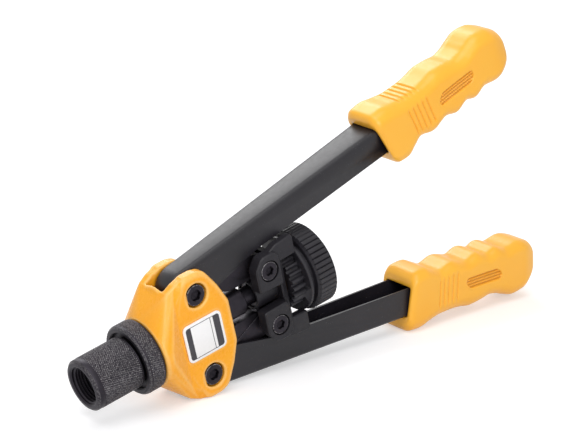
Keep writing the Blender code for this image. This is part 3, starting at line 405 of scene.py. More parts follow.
class ToolColours(bpy.types.PropertyGroup):
    """Paint, plastic and metal colours, as hex values."""
    casting: bpy.props.StringProperty(
        name="Casting Paint", description="Colour of the head's paint", default="#ffaf26")
    casting_shade: bpy.props.StringProperty(
        name="Casting Shade", description="Second colour in the head's paint",
        default="#faa41c")
    grip: bpy.props.StringProperty(
        name="Grip", description="Colour of the grips' plastic", default="#ffba36")
    grip_shade: bpy.props.StringProperty(
        name="Grip Shade", description="Second colour in the grips' plastic",
        default="#ffb32e")
    coat: bpy.props.StringProperty(
        name="Black Coat", description="Colour of the handles' powder coat",
        default="#141217")
    coat_shade: bpy.props.StringProperty(
        name="Coat Shade", description="Second colour in the powder coat", default="#1a181e")
    nylon: bpy.props.StringProperty(
        name="Knob", description="Colour of the knob's nylon", default="#17151b")
    nylon_shade: bpy.props.StringProperty(
        name="Knob Shade", description="Second colour in the knob's nylon",
        default="#222026")
    oxide: bpy.props.StringProperty(
        name="Black Oxide", description="Colour of the blackened steel",
        default="#28262c")
    oxide_shade: bpy.props.StringProperty(
        name="Oxide Shade", description="Second colour in the blackened steel",
        default="#332f35")
    zinc: bpy.props.StringProperty(
        name="Zinc Plate", description="Colour of the plated pins", default="#bdbcb8")
    bronze: bpy.props.StringProperty(
        name="Oiled Bronze", description="Colour of the bushes and the washer",
        default="#3d3022")
    enamel: bpy.props.StringProperty(
        name="Plate Enamel", description="Colour of the bare plate", default="#fbfafa")
    ink: bpy.props.StringProperty(
        name="Plate Ink", description="Colour of the plate's dark bands",
        default="#3b393f")


class NoseSizes(bpy.types.PropertyGroup):
    """Knurls and thread of the nosepiece and its lock ring."""
    pitch: bpy.props.FloatProperty(
        name="Knurl Pitch", description="Distance between the knurl's teeth",
        default=1.2 * MM, unit="LENGTH")
    depth: bpy.props.FloatProperty(
        name="Knurl Depth", description="Height of the knurl's teeth",
        default=0.3 * MM, unit="LENGTH")
    rim: bpy.props.FloatProperty(
        name="Smooth Rim", description="Length left smooth behind the front edge",
        default=4.2 * MM, unit="LENGTH")
    thread_pitch: bpy.props.FloatProperty(
        name="Thread Pitch", description="Pitch of the thread in the bore",
        default=1.75 * MM, unit="LENGTH")
    thread_depth: bpy.props.FloatProperty(
        name="Thread Depth", description="Height of that thread",
        default=0.9 * MM, unit="LENGTH")


class HeadSizes(bpy.types.PropertyGroup):
    """Form of the head casting's slots and how finely it is cast."""
    slot_front: bpy.props.FloatProperty(
        name="Slot Front", description="Front of the handles' slots, along the tool's axis",
        default=-15.4 * MM, unit="LENGTH")
    voxel: bpy.props.FloatProperty(
        name="Casting Grain", description="Size of the smallest form kept in the casting",
        default=0.5 * MM, unit="LENGTH")


class GripSizes(bpy.types.PropertyGroup):
    """Grooves and ribbed panels moulded into the grips."""
    groove_width: bpy.props.FloatProperty(
        name="Groove Width", description="Width of the cross grooves",
        default=1.4 * MM, unit="LENGTH")
    groove_depth: bpy.props.FloatProperty(
        name="Groove Depth", description="Depth of the cross grooves",
        default=0.9 * MM, unit="LENGTH")
    groove_pitch: bpy.props.FloatProperty(
        name="Groove Pitch", description="Distance from one cross groove to the next",
        default=3.4 * MM, unit="LENGTH")
    panel_depth: bpy.props.FloatProperty(
        name="Panel Depth", description="Depth of the side panels",
        default=1.5 * MM, unit="LENGTH")


# Nosepiece: radii of its shank, the thread's root and the bore behind, and the thread's end
NOSE_SHANK = 12.2 * MM
NOSE_THREAD = 10.8 * MM
NOSE_BORE = 9.3 * MM
THREAD_END = 27 * MM
THREAD_STEPS = 48

# Lock ring: radii of its bore and its front recess, and how deep the recess is
RING_BORE = 12.5 * MM
RING_RECESS = 16.4 * MM
RECESS_DEPTH = 2.4 * MM

# Knurl: a row's share of the pitch between teeth, and the angle that stays a sharp edge
KNURL_ROW = 0.62
KNURL_SHARP = 24


def radius_of(vert):
    return math.hypot(vert.co.y, vert.co.z)


def knurl(bm, start, rows, row, radius, teeth, depth):
    """Diamond knurl: every other crossing of a turned grid is raised, the rest are joined."""
    wear = bm.verts.layers.float.new("wear")
    low = []
    for vert in bm.verts:
        place = (vert.co.x - start) / row
        inside = -0.01 < place < rows + 0.01
        if not inside or abs(radius_of(vert) - radius) > 1e-6:
            continue
        index = round(place)
        tooth = round(math.atan2(vert.co.y, vert.co.z) * teeth / math.pi)
        # Raised teeth get the mark for rubbed tips and painted glints
        if 0 < index < rows and (index + tooth) % 2 == 0:
            vert.co.y *= 1 + depth / radius
            vert.co.z *= 1 + depth / radius
            vert[wear] = 1.0
        else:
            low.append(vert)
    bmesh.ops.connect_verts(bm, verts=low)


def knurled_turning(before, after, first, last, radius, sizes):
    """Turned shape from (x, radius) points before and after a knurl between two places."""
    rows = max(2, round((last - first) / (KNURL_ROW * sizes.pitch)))
    row = (last - first) / rows
    teeth = round(2 * math.pi * radius / sizes.pitch)
    points = before + [(last - k * row, radius) for k in range(rows + 1)] + after
    bm = bmesh.new()
    turned(bm, [(x, 0, r) for x, r in points], (1, 0, 0), 2 * teeth)
    knurl(bm, first, rows, row, radius, teeth, sizes.depth)
    return bm


def rub_rim(bm, behind, beyond, amount):
    """Marks the points of a front rim, up to a place and beyond a radius, as rubbed."""
    wear = bm.verts.layers.float["wear"]
    for vert in bm.verts:
        if vert.co.x < behind and radius_of(vert) > beyond:
            vert[wear] = amount


def thread(bm, first, last, bore, sizes):
    """Helical ridge on the wall of the bore, spun from a V and closed at both ends."""
    half = 0.42 * sizes.thread_pitch
    root = bore + 0.2 * MM
    turns = (last - first) / sizes.thread_pitch
    corners = ((first - half, root), (first, bore - sizes.thread_depth), (first + half, root))
    face = bm.faces.new([bm.verts.new((x, 0, radius)) for x, radius in corners])
    bmesh.ops.spin(bm, geom=[face], cent=(0, 0, 0), axis=(1, 0, 0),
                   dvec=(sizes.thread_pitch / THREAD_STEPS, 0, 0),
                   angle=2 * math.pi * turns, steps=round(THREAD_STEPS * turns),
                   use_merge=False)
    bmesh.ops.recalc_face_normals(bm, faces=bm.faces)


class TOOL_OT_nosepiece(bpy.types.Operator):
    """Nosepiece: knurled sleeve with a smooth chamfered rim and a threaded bore"""
    bl_idname = "tool_looks.nosepiece"
    bl_label = "Nosepiece"

    def execute(self, context):
        sizes = context.scene.tool_nose
        front, rear = (corner.x for corner in node_box("nosepiece"))
        shoulder = node_box("lock_ring")[0].x + 1.8 * MM
        radius = largest_radius("nosepiece") - sizes.depth
        smooth = radius + 0.1 * MM
        first, last = front + sizes.rim, shoulder - 2.6 * MM
        before = [
            (rear, NOSE_BORE), (rear, NOSE_SHANK - 0.8 * MM), (rear - 0.8 * MM, NOSE_SHANK),
            (shoulder, NOSE_SHANK), (shoulder, radius - 1.6 * MM), (last + 0.3 * MM, smooth)]
        after = [
            (first - 0.3 * MM, smooth), (front + 1.5 * MM, smooth),
            (front + 1.2 * MM, smooth - 0.12 * MM), (front + 0.12 * MM, smooth - 1.2 * MM),
            (front, smooth - 1.5 * MM), (front, NOSE_THREAD + 1.0 * MM),
            (front + 0.15 * MM, NOSE_THREAD + 0.8 * MM), (front + 0.8 * MM, NOSE_THREAD),
            (front + THREAD_END, NOSE_THREAD), (front + THREAD_END, NOSE_BORE)]
        bm = knurled_turning(before, after, first, last, radius, sizes)
        rub_rim(bm, front + 1.3 * MM, smooth - 1.35 * MM, 0.3)
        thread(bm, front + 1.2 * MM, front + 24 * MM, NOSE_THREAD, sizes)
        finish_piece(bm, "knurled_nosepiece", "nosepiece", ["nosepiece"], "knurled", TOOL,
                     KNURL_SHARP)
        return {"FINISHED"}


class TOOL_OT_lock_ring(bpy.types.Operator):
    """Lock ring: knurled outside, smooth at the front with a round recess"""
    bl_idname = "tool_looks.lock_ring"
    bl_label = "Lock Ring"

    def execute(self, context):
        sizes = context.scene.tool_nose
        front, rear = (corner.x for corner in node_box("lock_ring"))
        floor = front + RECESS_DEPTH
        radius = largest_radius("lock_ring") - sizes.depth
        before = [(floor, RING_BORE), (rear, RING_BORE), (rear, radius - 0.9 * MM),
                  (rear - 0.9 * MM, radius)]
        after = [(front + 1.2 * MM, radius), (front + 0.9 * MM, radius - 0.1 * MM),
                 (front + 0.1 * MM, radius - 0.9 * MM), (front, radius - 1.2 * MM),
                 (front, RING_RECESS + 0.7 * MM), (front + 0.15 * MM, RING_RECESS + 0.5 * MM),
                 (front + 0.8 * MM, RING_RECESS), (floor, RING_RECESS)]
        bm = knurled_turning(before, after, front + 1.5 * MM, rear - 1.2 * MM, radius, sizes)
        rub_rim(bm, front + 1.0 * MM, radius - 1.0 * MM, 0.4)
        finish_piece(bm, "knurled_lock_ring", "lock_ring", ["lock_ring"], "knurled", TOOL,
                     KNURL_SHARP)
        return {"FINISHED"}


# The grip along the handle, in millimetres: its mouth, its length and its largest sizes
GRIP_FRONT = 144.0
GRIP_LENGTH = 106.4
GRIP_BACK = 25.05
GRIP_FINGERS = 13.95
GRIP_HALF_WIDTH = 14.35
GRIP_BACK_CORNER = 7.6
GRIP_FINGER_CORNER = 6.2

# The mouth leans about a height, has a round lip, and its pocket holds the channel
MOUTH_SLANT = 0.21
MOUTH_HINGE = 12.5
MOUTH_ROUND = 4.5
POCKET_LOW = -4.9
POCKET_HIGH = 12.8
POCKET_HALF = 10.9
POCKET_LOW_CORNER = 1.2
POCKET_HIGH_CORNER = 2.4

# How far each grip sits from its node's place, along the handle and out from the axis
GRIP_SEAT = {"upper": (0.6, -1.3), "lower": (-2.0, -0.12)}

# Share of the length where the end starts to close to a dome
DOME_FROM = 0.975

# The grip's lines: share of its length, then share of its back, finger side or half width
BACK_LINE = ((0, 0.84), (0.028, 0.897), (0.094, 0.92), (0.17, 0.845), (0.245, 0.79),
             (0.34, 0.785), (0.415, 0.817), (0.48, 0.87), (0.565, 0.837), (0.63, 0.79),
             (0.69, 0.83), (0.735, 0.905), (0.81, 1.0), (0.88, 0.96), (0.925, 0.86),
             (0.96, 0.74), (0.985, 0.6), (1, 0.46))
FINGER_LINE = ((0, 0.87), (0.038, 0.957), (0.113, 1.0), (0.189, 0.8), (0.264, 0.6),
               (0.358, 0.78), (0.462, 0.59), (0.542, 0.765), (0.623, 0.575), (0.684, 0.715),
               (0.764, 0.52), (0.858, 0.63), (0.925, 0.5), (0.97, 0.27), (1, -0.1))
HALF_LINE = ((0, 0.965), (0.038, 1.0), (0.13, 0.985), (0.28, 0.925), (0.57, 0.9),
             (0.8, 0.935), (0.88, 0.93), (0.95, 0.81), (0.985, 0.63), (1, 0.42))

# Parts of half a section, from the middle of the finger side round to the back, and their steps
AROUND = (("fingers", 8), ("finger_corner", 9), ("side", 72), ("back_corner", 9),
          ("back", 8))
HALF_STEPS = sum(count for _, count in AROUND)

# Grooves: their first places on the back and the sides, how far they reach to each side of
# their middles, the height where the back's stop, and how the sides' spread and lean
GROOVE_COUNT = 5
BACK_GROOVES = 22.0
SIDE_GROOVES = 23.6
GROOVE_REACH = 9.8
GROOVE_MIDDLE = 4.4
BACK_LOWEST = 17
SIDE_SPREAD = 0.2
SIDE_LEAN = 0.1
SIDE_LEAN_FROM = 13

# Side panel: its middle, its climb along the grip and the slant of its ends, half its straight
# part, its end radius, and its ribs' and nicks' sizes
PANEL_ALONG = 60.5
PANEL_UP = 5.6
PANEL_CLIMB = 0.03
PANEL_SLANT = 0.35
PANEL_STRAIGHT = 10.2
PANEL_RADIUS = 3.9
RIB_PITCH = 1.9
NICK_PITCH = 1.6
RIB_HEIGHT = 1.2

# Where grooves and panels lie along the grip, and the step between sections there and elsewhere
RELIEF = (14, 80)
FINE_STEPS = ((46, 75, 0.27), (20, 42, 0.36))
COARSE_STEP = 0.7


def smooth_line(points):
    """Function through points that keeps their peaks, with a flat top at each one."""
    xs = np.array([p[0] for p in points], float)
    ys = np.array([p[1] for p in points], float)
    steps = np.diff(ys) / np.diff(xs)
    slopes = np.zeros(len(xs))
    slopes[0], slopes[-1] = steps[0], steps[-1]
    for i in range(1, len(xs) - 1):
        if steps[i - 1] * steps[i] > 0:
            slopes[i] = 2 / (1 / steps[i - 1] + 1 / steps[i])

    def value(x):
        i = int(np.clip(np.searchsorted(xs, x) - 1, 0, len(xs) - 2))
        width = xs[i + 1] - xs[i]
        u = min(max((x - xs[i]) / width, 0.0), 1.0)
        return float(ys[i] * (1 + 2 * u) * (1 - u) ** 2 + slopes[i] * width * u * (1 - u) ** 2
                     + ys[i + 1] * u * u * (3 - 2 * u) - slopes[i + 1] * width * u * u * (1 - u))
    return value


BACK_AT = smooth_line(BACK_LINE)
FINGERS_AT = smooth_line(FINGER_LINE)
HALF_AT = smooth_line(HALF_LINE)


def grip_size(t):
    """Back, finger side and half width of the grip, closing to a blunt dome at its end."""
    share = min(t / GRIP_LENGTH, 1.0)
    back, fingers = GRIP_BACK * BACK_AT(share), -GRIP_FINGERS * FINGERS_AT(share)
    half = GRIP_HALF_WIDTH * HALF_AT(share)
    if share > DOME_FROM:
        close = max(1 - ((share - DOME_FROM) / (1 - DOME_FROM)) ** 2.4, 0.0) ** 0.5
        middle = (back + fingers) / 2
        back = middle + (back - middle) * close
        fingers = middle + (fingers - middle) * close
        half *= close
    return back, fingers, half


def round_box(v, low, high, half, low_corner, high_corner):
    """Point of a rounded box section at v, from 0 at the low middle round to 1."""
    mirror = -1 if v > 0.5 else 1
    place = 2 * min(v, 1 - v) * HALF_STEPS
    low_corner = min(low_corner, half, (high - low) / 2)
    high_corner = min(high_corner, half, (high - low) / 2)
    for part, count in AROUND:
        if place <= count + 1e-9:
            break
        place -= count
    u = place / count
    a = u * math.pi / 2
    if part == "fingers":
        y, z = u * (half - low_corner), low
    elif part == "finger_corner":
        y = half - low_corner + low_corner * math.sin(a)
        z = low + low_corner - low_corner * math.cos(a)
    elif part == "side":
        y = half
        z = low + low_corner + u * (high - low - low_corner - high_corner)
    elif part == "back_corner":
        y = half - high_corner + high_corner * math.cos(a)
        z = high - high_corner + high_corner * math.sin(a)
    else:
        y, z = (1 - u) * (half - high_corner), high
    return part, mirror * y, z


def groove(distance, width):
    """Depth share of a round-bottomed groove at a distance from its middle line."""
    return math.cos(math.pi * distance / width) if abs(distance) < width / 2 else 0.0


def fade(value, edge, width):
    """1 well inside an edge, 0 outside it, easing over a width."""
    u = min(max((edge - value) / width, 0.0), 1.0)
    return u * u * (3 - 2 * u)


def ripple(place, pitch):
    """Wave from 0 to 1 with its crest at 0 and at each pitch from there."""
    return 0.5 + 0.5 * math.cos(2 * math.pi * place / pitch)


def grip_relief(part, t, y, z, sizes):
    """How far the surface lies below the grip's plain form at a place, in millimetres."""
    width, depth = sizes.groove_width / MM, sizes.groove_depth / MM
    pitch = sizes.groove_pitch / MM
    if part in ("back", "back_corner") and z > BACK_LOWEST:
        for k in range(GROOVE_COUNT):
            off = t - BACK_GROOVES - k * pitch
            if abs(off) < width:
                return depth * groove(off, width) * fade(abs(y), GROOVE_REACH, 1.2)
    if part not in ("side", "finger_corner", "back_corner"):
        return 0.0
    for k in range(GROOVE_COUNT):
        off = t - (SIDE_GROOVES + k * (pitch + SIDE_SPREAD) + SIDE_LEAN * (SIDE_LEAN_FROM - z))
        if abs(off) < width:
            reach = fade(abs(z - GROOVE_MIDDLE), GROOVE_REACH, 2.5)
            return depth * groove(off, width) * reach
    along = t - PANEL_ALONG
    up = z - PANEL_UP - PANEL_CLIMB * along
    along -= PANEL_SLANT * up
    round_end = math.hypot(max(abs(along) - PANEL_STRAIGHT, 0.0), up)
    inside = fade(max(round_end, abs(up)), PANEL_RADIUS, 0.5)
    ribs = ripple(up, RIB_PITCH) * (0.5 + 0.5 * ripple(along, NICK_PITCH))
    return inside * (sizes.panel_depth / MM - RIB_HEIGHT * ribs)


def grip_stations(pocket_depth):
    """Places along the grip, each with its share of the pocket's outline in its section."""
    inside = [(pocket_depth, 1.0), (3.0, 1.0), (1.2, 1.0), (0.5, 0.985), (0.15, 0.93),
              (0.0, 0.84)]
    face = [(0.0, 0.66)]
    for k in range(9):
        turn = math.radians(11.25 * k)
        face.append((MOUTH_ROUND * (1 - math.cos(turn)), 0.5 * (1 - math.sin(turn))))
    places, t = [], MOUTH_ROUND + 0.3
    while t < DOME_FROM * GRIP_LENGTH:
        places.append(t)
        t += next((step for low, high, step in FINE_STEPS if low < t < high), COARSE_STEP)
    dome = [GRIP_LENGTH * (DOME_FROM + (1 - DOME_FROM) * math.sin(math.pi / 2 * k / 9))
            for k in range(9)]
    dome.append(GRIP_LENGTH * 0.99997)
    return inside + face + [(place, 0.0) for place in places + dome]


def grip_mesh(sizes, out, pocket_depth):
    """Grip round its channel's pocket, from the pocket's floor over the lip to the dome."""
    stations = grip_stations(pocket_depth)
    bm = bmesh.new()
    grime = bm.verts.layers.float.new("grime")
    bmesh.ops.create_grid(bm, x_segments=len(stations) - 1, y_segments=2 * HALF_STEPS, size=1)
    for vert in bm.verts:
        t, share = stations[round((vert.co.x + 1) / 2 * (len(stations) - 1))]
        v = (vert.co.y + 1) / 2
        back, fingers, half = grip_size(t)
        part, y, z = round_box(v, fingers, back, half, GRIP_FINGER_CORNER, GRIP_BACK_CORNER)
        if share:
            _, py, pz = round_box(v, POCKET_LOW - out, POCKET_HIGH - out, POCKET_HALF,
                                  POCKET_LOW_CORNER, POCKET_HIGH_CORNER)
            y, z = y + (py - y) * share, z + (pz - z) * share
        elif RELIEF[0] < t < RELIEF[1]:
            cut = grip_relief(part, t, y, z, sizes)
            # Depth of the cut, kept as painted shade in the grooves and panels
            vert[grime] = min(cut / (sizes.panel_depth / MM), 1.0) ** 2
            if part == "side":
                y -= math.copysign(cut, y)
            elif part == "back":
                z -= cut
            elif cut:
                inward = Vector((-y, (back + fingers) / 2 - z)).normalized()
                y, z = y + inward.x * cut, z + inward.y * cut
        lean = MOUTH_SLANT * max(0.0, 1 - 4 * t / GRIP_LENGTH) * (MOUTH_HINGE - z)
        vert.co = ((t + lean) * MM, y * MM, z * MM)
    bmesh.ops.remove_doubles(bm, verts=bm.verts, dist=1e-6)
    bmesh.ops.edgeloop_fill(bm, edges=[e for e in bm.edges if e.is_boundary])
    bmesh.ops.recalc_face_normals(bm, faces=bm.faces)
    return bm


class TOOL_OT_grips(bpy.types.Operator):
    """Grips: moulded finger hollows, cross grooves and ribbed side panels"""
    bl_idname = "tool_looks.grips"
    bl_label = "Grips"

    def execute(self, context):
        for side, (along, out) in GRIP_SEAT.items():
            matrix = handle_frame(side)
            first = (GRIP_FRONT + along) * MM
            channel_end = node_box(side + "_handle_channel", matrix)[1].x
            depth = (channel_end - first) / MM + 0.3
            bm = grip_mesh(context.scene.tool_grip, out, depth)
            place = matrix @ Matrix.Translation((first, 0, out * MM))
            finish_piece(bm, side + "_moulded_grip", side + "_handle", [side + "_grip"],
                         "grip", place, 60)
        return {"FINISHED"}


# Corners of the head's front between the nose boss and a slot, at one side of one slot
BROW = ((-16.4, 12.6, 32.6), (-11.0, 13.2, 35.3))
BROW_SIDE = ((-25.4, 15.2, 14.4), (-25.4, 11.0, 17.8), (-25.4, 8.2, 19.2), (-16.4, 8.2, 32.6),
             (-11.0, 8.2, 35.3), (-4.5, 13.4, 37.2), (-4.5, 8.2, 37.2), (-7.2, 15.2, 32.5),
             (-11.8, 15.2, 26.0), (-16.6, 15.2, 14.4), (-6.0, 15.2, 14.4), (-6.0, 8.2, 14.4))

# Rims of the round nose boss: place along the axis and radius
NOSE_BOSS = ((-30.2, 20.0), (-29.0, 21.0), (-25.4, 21.0))
BOSS_STEPS = 72

# Cutters of the head, 0.02 mm off its own faces, because faces in one place spoil a Boolean
SLOT_HALF = 8.02 * MM
SLOT_FLOOR = 11.58 * MM
SLOT_TOP = 48 * MM
SLOT_REAR = 28 * MM
NOSE_DRILL = (12.52 * MM, -33 * MM, -11.68 * MM)
SLEEVE_DRILL = (8.32 * MM, -14 * MM, 26 * MM)

# Rounds of smoothing that soften the casting, and how far an edge must stand out for the full painted
# highlight
CAST_ROUNDS = 8
EDGE_HIGHLIGHT_REACH = 0.02 * MM


def flare_shapes():
    """Flare from the round nose boss to both slots, and its four joints with the cheeks."""
    turns = [2 * math.pi * k / BOSS_STEPS for k in range(BOSS_STEPS)]
    rings = [(x, radius * math.cos(turn), radius * math.sin(turn))
             for x, radius in NOSE_BOSS for turn in turns]
    quarters = [(across, up) for across in (-1, 1) for up in (-1, 1)]
    rings += [(x, a * y, u * z) for x, y, z in BROW for a, u in quarters]
    shapes = [("UNION", hull("flare", rings))]
    for a, u in quarters:
        side = [(x, a * y, u * z) for x, y, z in BROW + BROW_SIDE]
        shapes.append(("UNION", hull("brow_side", side)))
    return shapes


def mark_edges(bm, reach):
    """Painted highlight by how far each point stands out of its neighbours: convex edges get a paler
    colour.
    """
    wear = bm.verts.layers.float.new("wear")
    for vert in bm.verts:
        around = [edge.other_vert(vert).co for edge in vert.link_edges]
        middle = sum(around, Vector()) / len(around)
        out = (vert.co - middle).dot(vert.normal)
        vert[wear] = min(max(out / reach, 0.0), 1.0)


class TOOL_OT_head(bpy.types.Operator):
    """Head: painted die casting with a flat-faced flare and softly rounded edges"""
    bl_idname = "tool_looks.head"
    bl_label = "Head Casting"

    def execute(self, context):
        sizes = context.scene.tool_head
        base = mesh_object(node_copy("head_casting"), "head_base")
        shapes = flare_shapes()
        for side, low, high in (("upper", SLOT_FLOOR, SLOT_TOP),
                                ("lower", -SLOT_TOP, -SLOT_FLOOR)):
            cut = box((sizes.slot_front, -SLOT_HALF, low), (SLOT_REAR, SLOT_HALF, high))
            shapes.append(("DIFFERENCE", mesh_object(cut, side + "_slot", TOOL)))
        shapes.append(("DIFFERENCE", drill("nose_bore", *NOSE_DRILL)))
        shapes.append(("DIFFERENCE", drill("sleeve_bore", *SLEEVE_DRILL)))
        bm = joined(base, shapes, sizes.voxel, CAST_ROUNDS)
        mark_edges(bm, EDGE_HIGHLIGHT_REACH)
        finish_piece(bm, "cast_head", "head", ["head_casting"], "casting", angle=180)
        return {"FINISHED"}


# Plate: width left bare at its edge, its two bands, the line beside the rear one, and its print
PLATE_EDGE = 1.5 * MM
FRONT_BAND = 3.4 * MM
REAR_BAND = 4.2 * MM
DIVIDER = 6.2 * MM
LINE_WIDTH = 0.35 * MM
BAND_CORNER = 1.6 * MM
INK_THICKNESS = 0.06 * MM


def print_block(x0, x1, z0, z1, face, end):
    """Thin printed block on the plate, rounded at one end if that end's place is given."""
    half = INK_THICKNESS / 2
    bm = box((x0, face - half, z0), (x1, face + half, z1))
    if end is not None:
        edges = [e for e in bm.edges
                 if all(abs(v.co.x - end) < 1e-7 for v in e.verts)
                 and abs(e.verts[0].co.y - e.verts[1].co.y) > 1e-7]
        round_edges(bm, edges, BAND_CORNER, 6)
    return bm


class TOOL_OT_name_plate(bpy.types.Operator):
    """Bare plate: white enamel with dark end bands and thin lines, its middle left empty"""
    bl_idname = "tool_looks.name_plate"
    bl_label = "Bare Plate"

    def execute(self, context):
        smoothed("name_plate", "head", "enamel", 0.25 * MM, 40, 40)
        low, high = node_box("name_plate")
        left, right = low.x + PLATE_EDGE, high.x - PLATE_EDGE
        bottom, top = low.z + PLATE_EDGE, high.z - PLATE_EDGE
        front, rear, divider = left + FRONT_BAND, right - REAR_BAND, right - DIVIDER
        bands = (("front_band", left, front, bottom, top, left),
                 ("rear_band", rear, right, bottom, top, right),
                 ("divider", divider, divider + LINE_WIDTH, bottom, top, None),
                 ("lower_line", front, rear, bottom, bottom + LINE_WIDTH, None),
                 ("upper_line", front, rear, top - LINE_WIDTH, top, None))
        for name, x0, x1, z0, z1, end in bands:
            bm = print_block(x0, x1, z0, z1, low.y, end)
            finish_piece(bm, "plate_" + name, "head", [], "ink", TOOL, 30)
        return {"FINISHED"}


# Where the knob's fluted rim starts, its flutes' depth, and how many times deeper they are cut
KNOB_RIM_FRONT = 73 * MM
FLUTE_DEPTH = 1.6 * MM
FLUTE_DEEPER = 1.6

# How much a channel grows wider at each side, between two places along its handle
WIDEN_FROM = 60 * MM
WIDEN_TO = 144 * MM
WIDEN_BY = 1.1 * MM

# Least share of a face's normal that points inwards, and the height that only the web passes
INWARDS = 0.7
WEB_HEIGHT = 5 * MM

# Outline of the web under the upper link, along and away from the axis, and half its thickness
WEB_OUTLINE = ((12.0, 30.0), (13.5, 20.0), (20.0, 13.2), (28.0, 10.4), (41.0, 10.4),
               (48.0, 12.4), (50.0, 18.0), (44.0, 22.0))
WEB_HALF = 4.3


def channel_copy(side):
    """Channel a little wider at its grip, with its inner faces in their own slot for a duller, darker
    copy of the coat as painted shade.
    """
    bm = node_copy(side + "_handle_channel")
    place = handle_frame(side)
    turn = place.inverted()
    for vert in bm.verts:
        spot = turn @ vert.co
        share = min(max((spot.x - WIDEN_FROM) / (WIDEN_TO - WIDEN_FROM), 0.0), 1.0)
        spot.y += math.copysign(WIDEN_BY * share, spot.y)
        vert.co = place @ spot
    bm.normal_update()
    for face in bm.faces:
        middle = turn @ face.calc_center_median()
        normal = turn.to_3x3() @ face.normal
        inner_side = normal.y * middle.y < 0 and abs(normal.y) > INWARDS
        inner_web = normal.z < -INWARDS and middle.z > WEB_HEIGHT
        # Inner faces take the duller copy of the coat: painted shade inside the channel
        face.material_index = 1 if inner_side or inner_web else 0
    return bm


def link_web():
    """Deep web under the upper link's middle, in the tool's frame."""
    bm = bmesh.new()
    face = bm.faces.new([bm.verts.new((x * MM, -WEB_HALF * MM, z * MM))
                         for x, z in WEB_OUTLINE])
    made = bmesh.ops.extrude_face_region(bm, geom=[face])["geom"]
    top = [v for v in made if isinstance(v, bmesh.types.BMVert)]
    bmesh.ops.translate(bm, vec=(0, 2 * WEB_HALF * MM, 0), verts=top)
    bmesh.ops.recalc_face_normals(bm, faces=bm.faces)
    round_edges(bm, bm.edges[:], 0.5 * MM)
    return bm


class TOOL_OT_knob(bpy.types.Operator):
    """Knob: moulded, its finger flutes cut deeper than the hub's bars"""
    bl_idname = "tool_looks.knob"
    bl_label = "Knob"

    def execute(self, context):
        outer = largest_radius("knob")
        bm = node_copy("knob")
        inverse = TOOL.inverted()
        for vert in bm.verts:
            spot = inverse @ vert.co
            radius = math.hypot(spot.y, spot.z)
            fluted = outer - FLUTE_DEPTH < radius < outer - 0.01 * MM
            if fluted and spot.x > KNOB_RIM_FRONT:
                scale = (outer - FLUTE_DEEPER * (outer - radius)) / radius
                vert.co = TOOL @ Vector((spot.x, spot.y * scale, spot.z * scale))
        bm.normal_update()
        finish_piece(bm, "fluted_knob", "spindle", ["knob"], "nylon", angle=25)
        return {"FINISHED"}


class TOOL_OT_links(bpy.types.Operator):
    """Links: forged, with a deep web between their two eyes"""
    bl_idname = "tool_looks.links"
    bl_label = "Links"

    def execute(self, context):
        for side in SIDES:
            base = mesh_object(node_copy(side + "_link", 0.4 * MM), "link_base")
            web = mesh_object(link_web(), "link_web", side_frame(side))
            finish_piece(joined(base, [("UNION", web)]), side + "_forged_link",
                         side + "_link", [side + "_link"], "oxide")
        return {"FINISHED"}


class TOOL_OT_metalwork(bpy.types.Operator):
    """Channels, carriage, rod, pins and nuts with smooth round faces"""
    bl_idname = "tool_looks.metalwork"
    bl_label = "Metalwork"

    def execute(self, context):
        for side in SIDES:
            channel = side + "_handle_channel"
            finish_piece(channel_copy(side), channel + "_finished", side + "_handle",
                         [channel], ("coat", "inside"), angle=50)
            smoothed(side + "_elbow_pin", side + "_handle", "zinc")
            smoothed(side + "_pivot_bush", "head", "bronze")
            smoothed(side + "_lug_bush", "carriage", "bronze")
            smoothed(side + "_pivot_nut", "head", "oxide", 0.3 * MM)
            smoothed(side + "_lug_nut", "carriage", "oxide", 0.3 * MM)
        smoothed("carriage", "carriage", "matte", angle=30)
        smoothed("guide_sleeve", "head", "oxide")
        smoothed("pull_rod", "spindle", "oxide")
        smoothed("knob_nut", "spindle", "zinc", 0.3 * MM)
        smoothed("rod_retaining_ring", "spindle", "oxide")
        smoothed("thrust_washer", "carriage", "bronze")
        return {"FINISHED"}


# Screws: kind, body, then the shank's radius, the head's radius and height, and the key's width
SCREWS = (("pivot", "head", 4.0 * MM, 6.0 * MM, 4.0 * MM, 6.0 * MM),
          ("lug", "carriage", 3.0 * MM, 5.5 * MM, 3.4 * MM, 5.0 * MM))
SCREW_STEPS = 72


def socket_screw(length, shank, head_radius, height, flats):
    """Socket cap screw along +Z: head's top face at 0, shank below."""
    bm = bmesh.new()
    depth, chamfer = 0.6 * height, 0.5 * MM
    socket = flats / 2
    profile = [(0, -depth - 0.25 * flats), (socket * 0.9, -depth), (socket, -depth),
               (socket, -0.3 * MM), (socket + 0.3 * MM, 0), (head_radius - chamfer, 0),
               (head_radius - 0.15 * MM, -0.35 * chamfer), (head_radius, -chamfer),
               (head_radius, -height), (shank, -height), (shank, -length + chamfer),
               (shank - chamfer, -length), (0, -length)]
    turned(bm, [(r, 0, z) for r, z in profile], (0, 0, 1), SCREW_STEPS, closed=False)
    for vert in bm.verts:
        radius = vert.co.to_2d().length
        if 1e-6 < radius < socket + 0.01 * MM and vert.co.z > -depth - 1e-6:
            turn = math.atan2(vert.co.y, vert.co.x) % (math.pi / 3) - math.pi / 6
            vert.co.x /= math.cos(turn)
            vert.co.y /= math.cos(turn)
    # The head's chamfer gets the mark for rubbed steel and a painted highlight
    wear = bm.faces.layers.float.new("wear")
    for face in bm.faces:
        middle = face.calc_center_median()
        if middle.z > -1.1 * chamfer and abs(middle.to_2d().length - head_radius) < chamfer:
            face[wear] = 0.8
    return bm


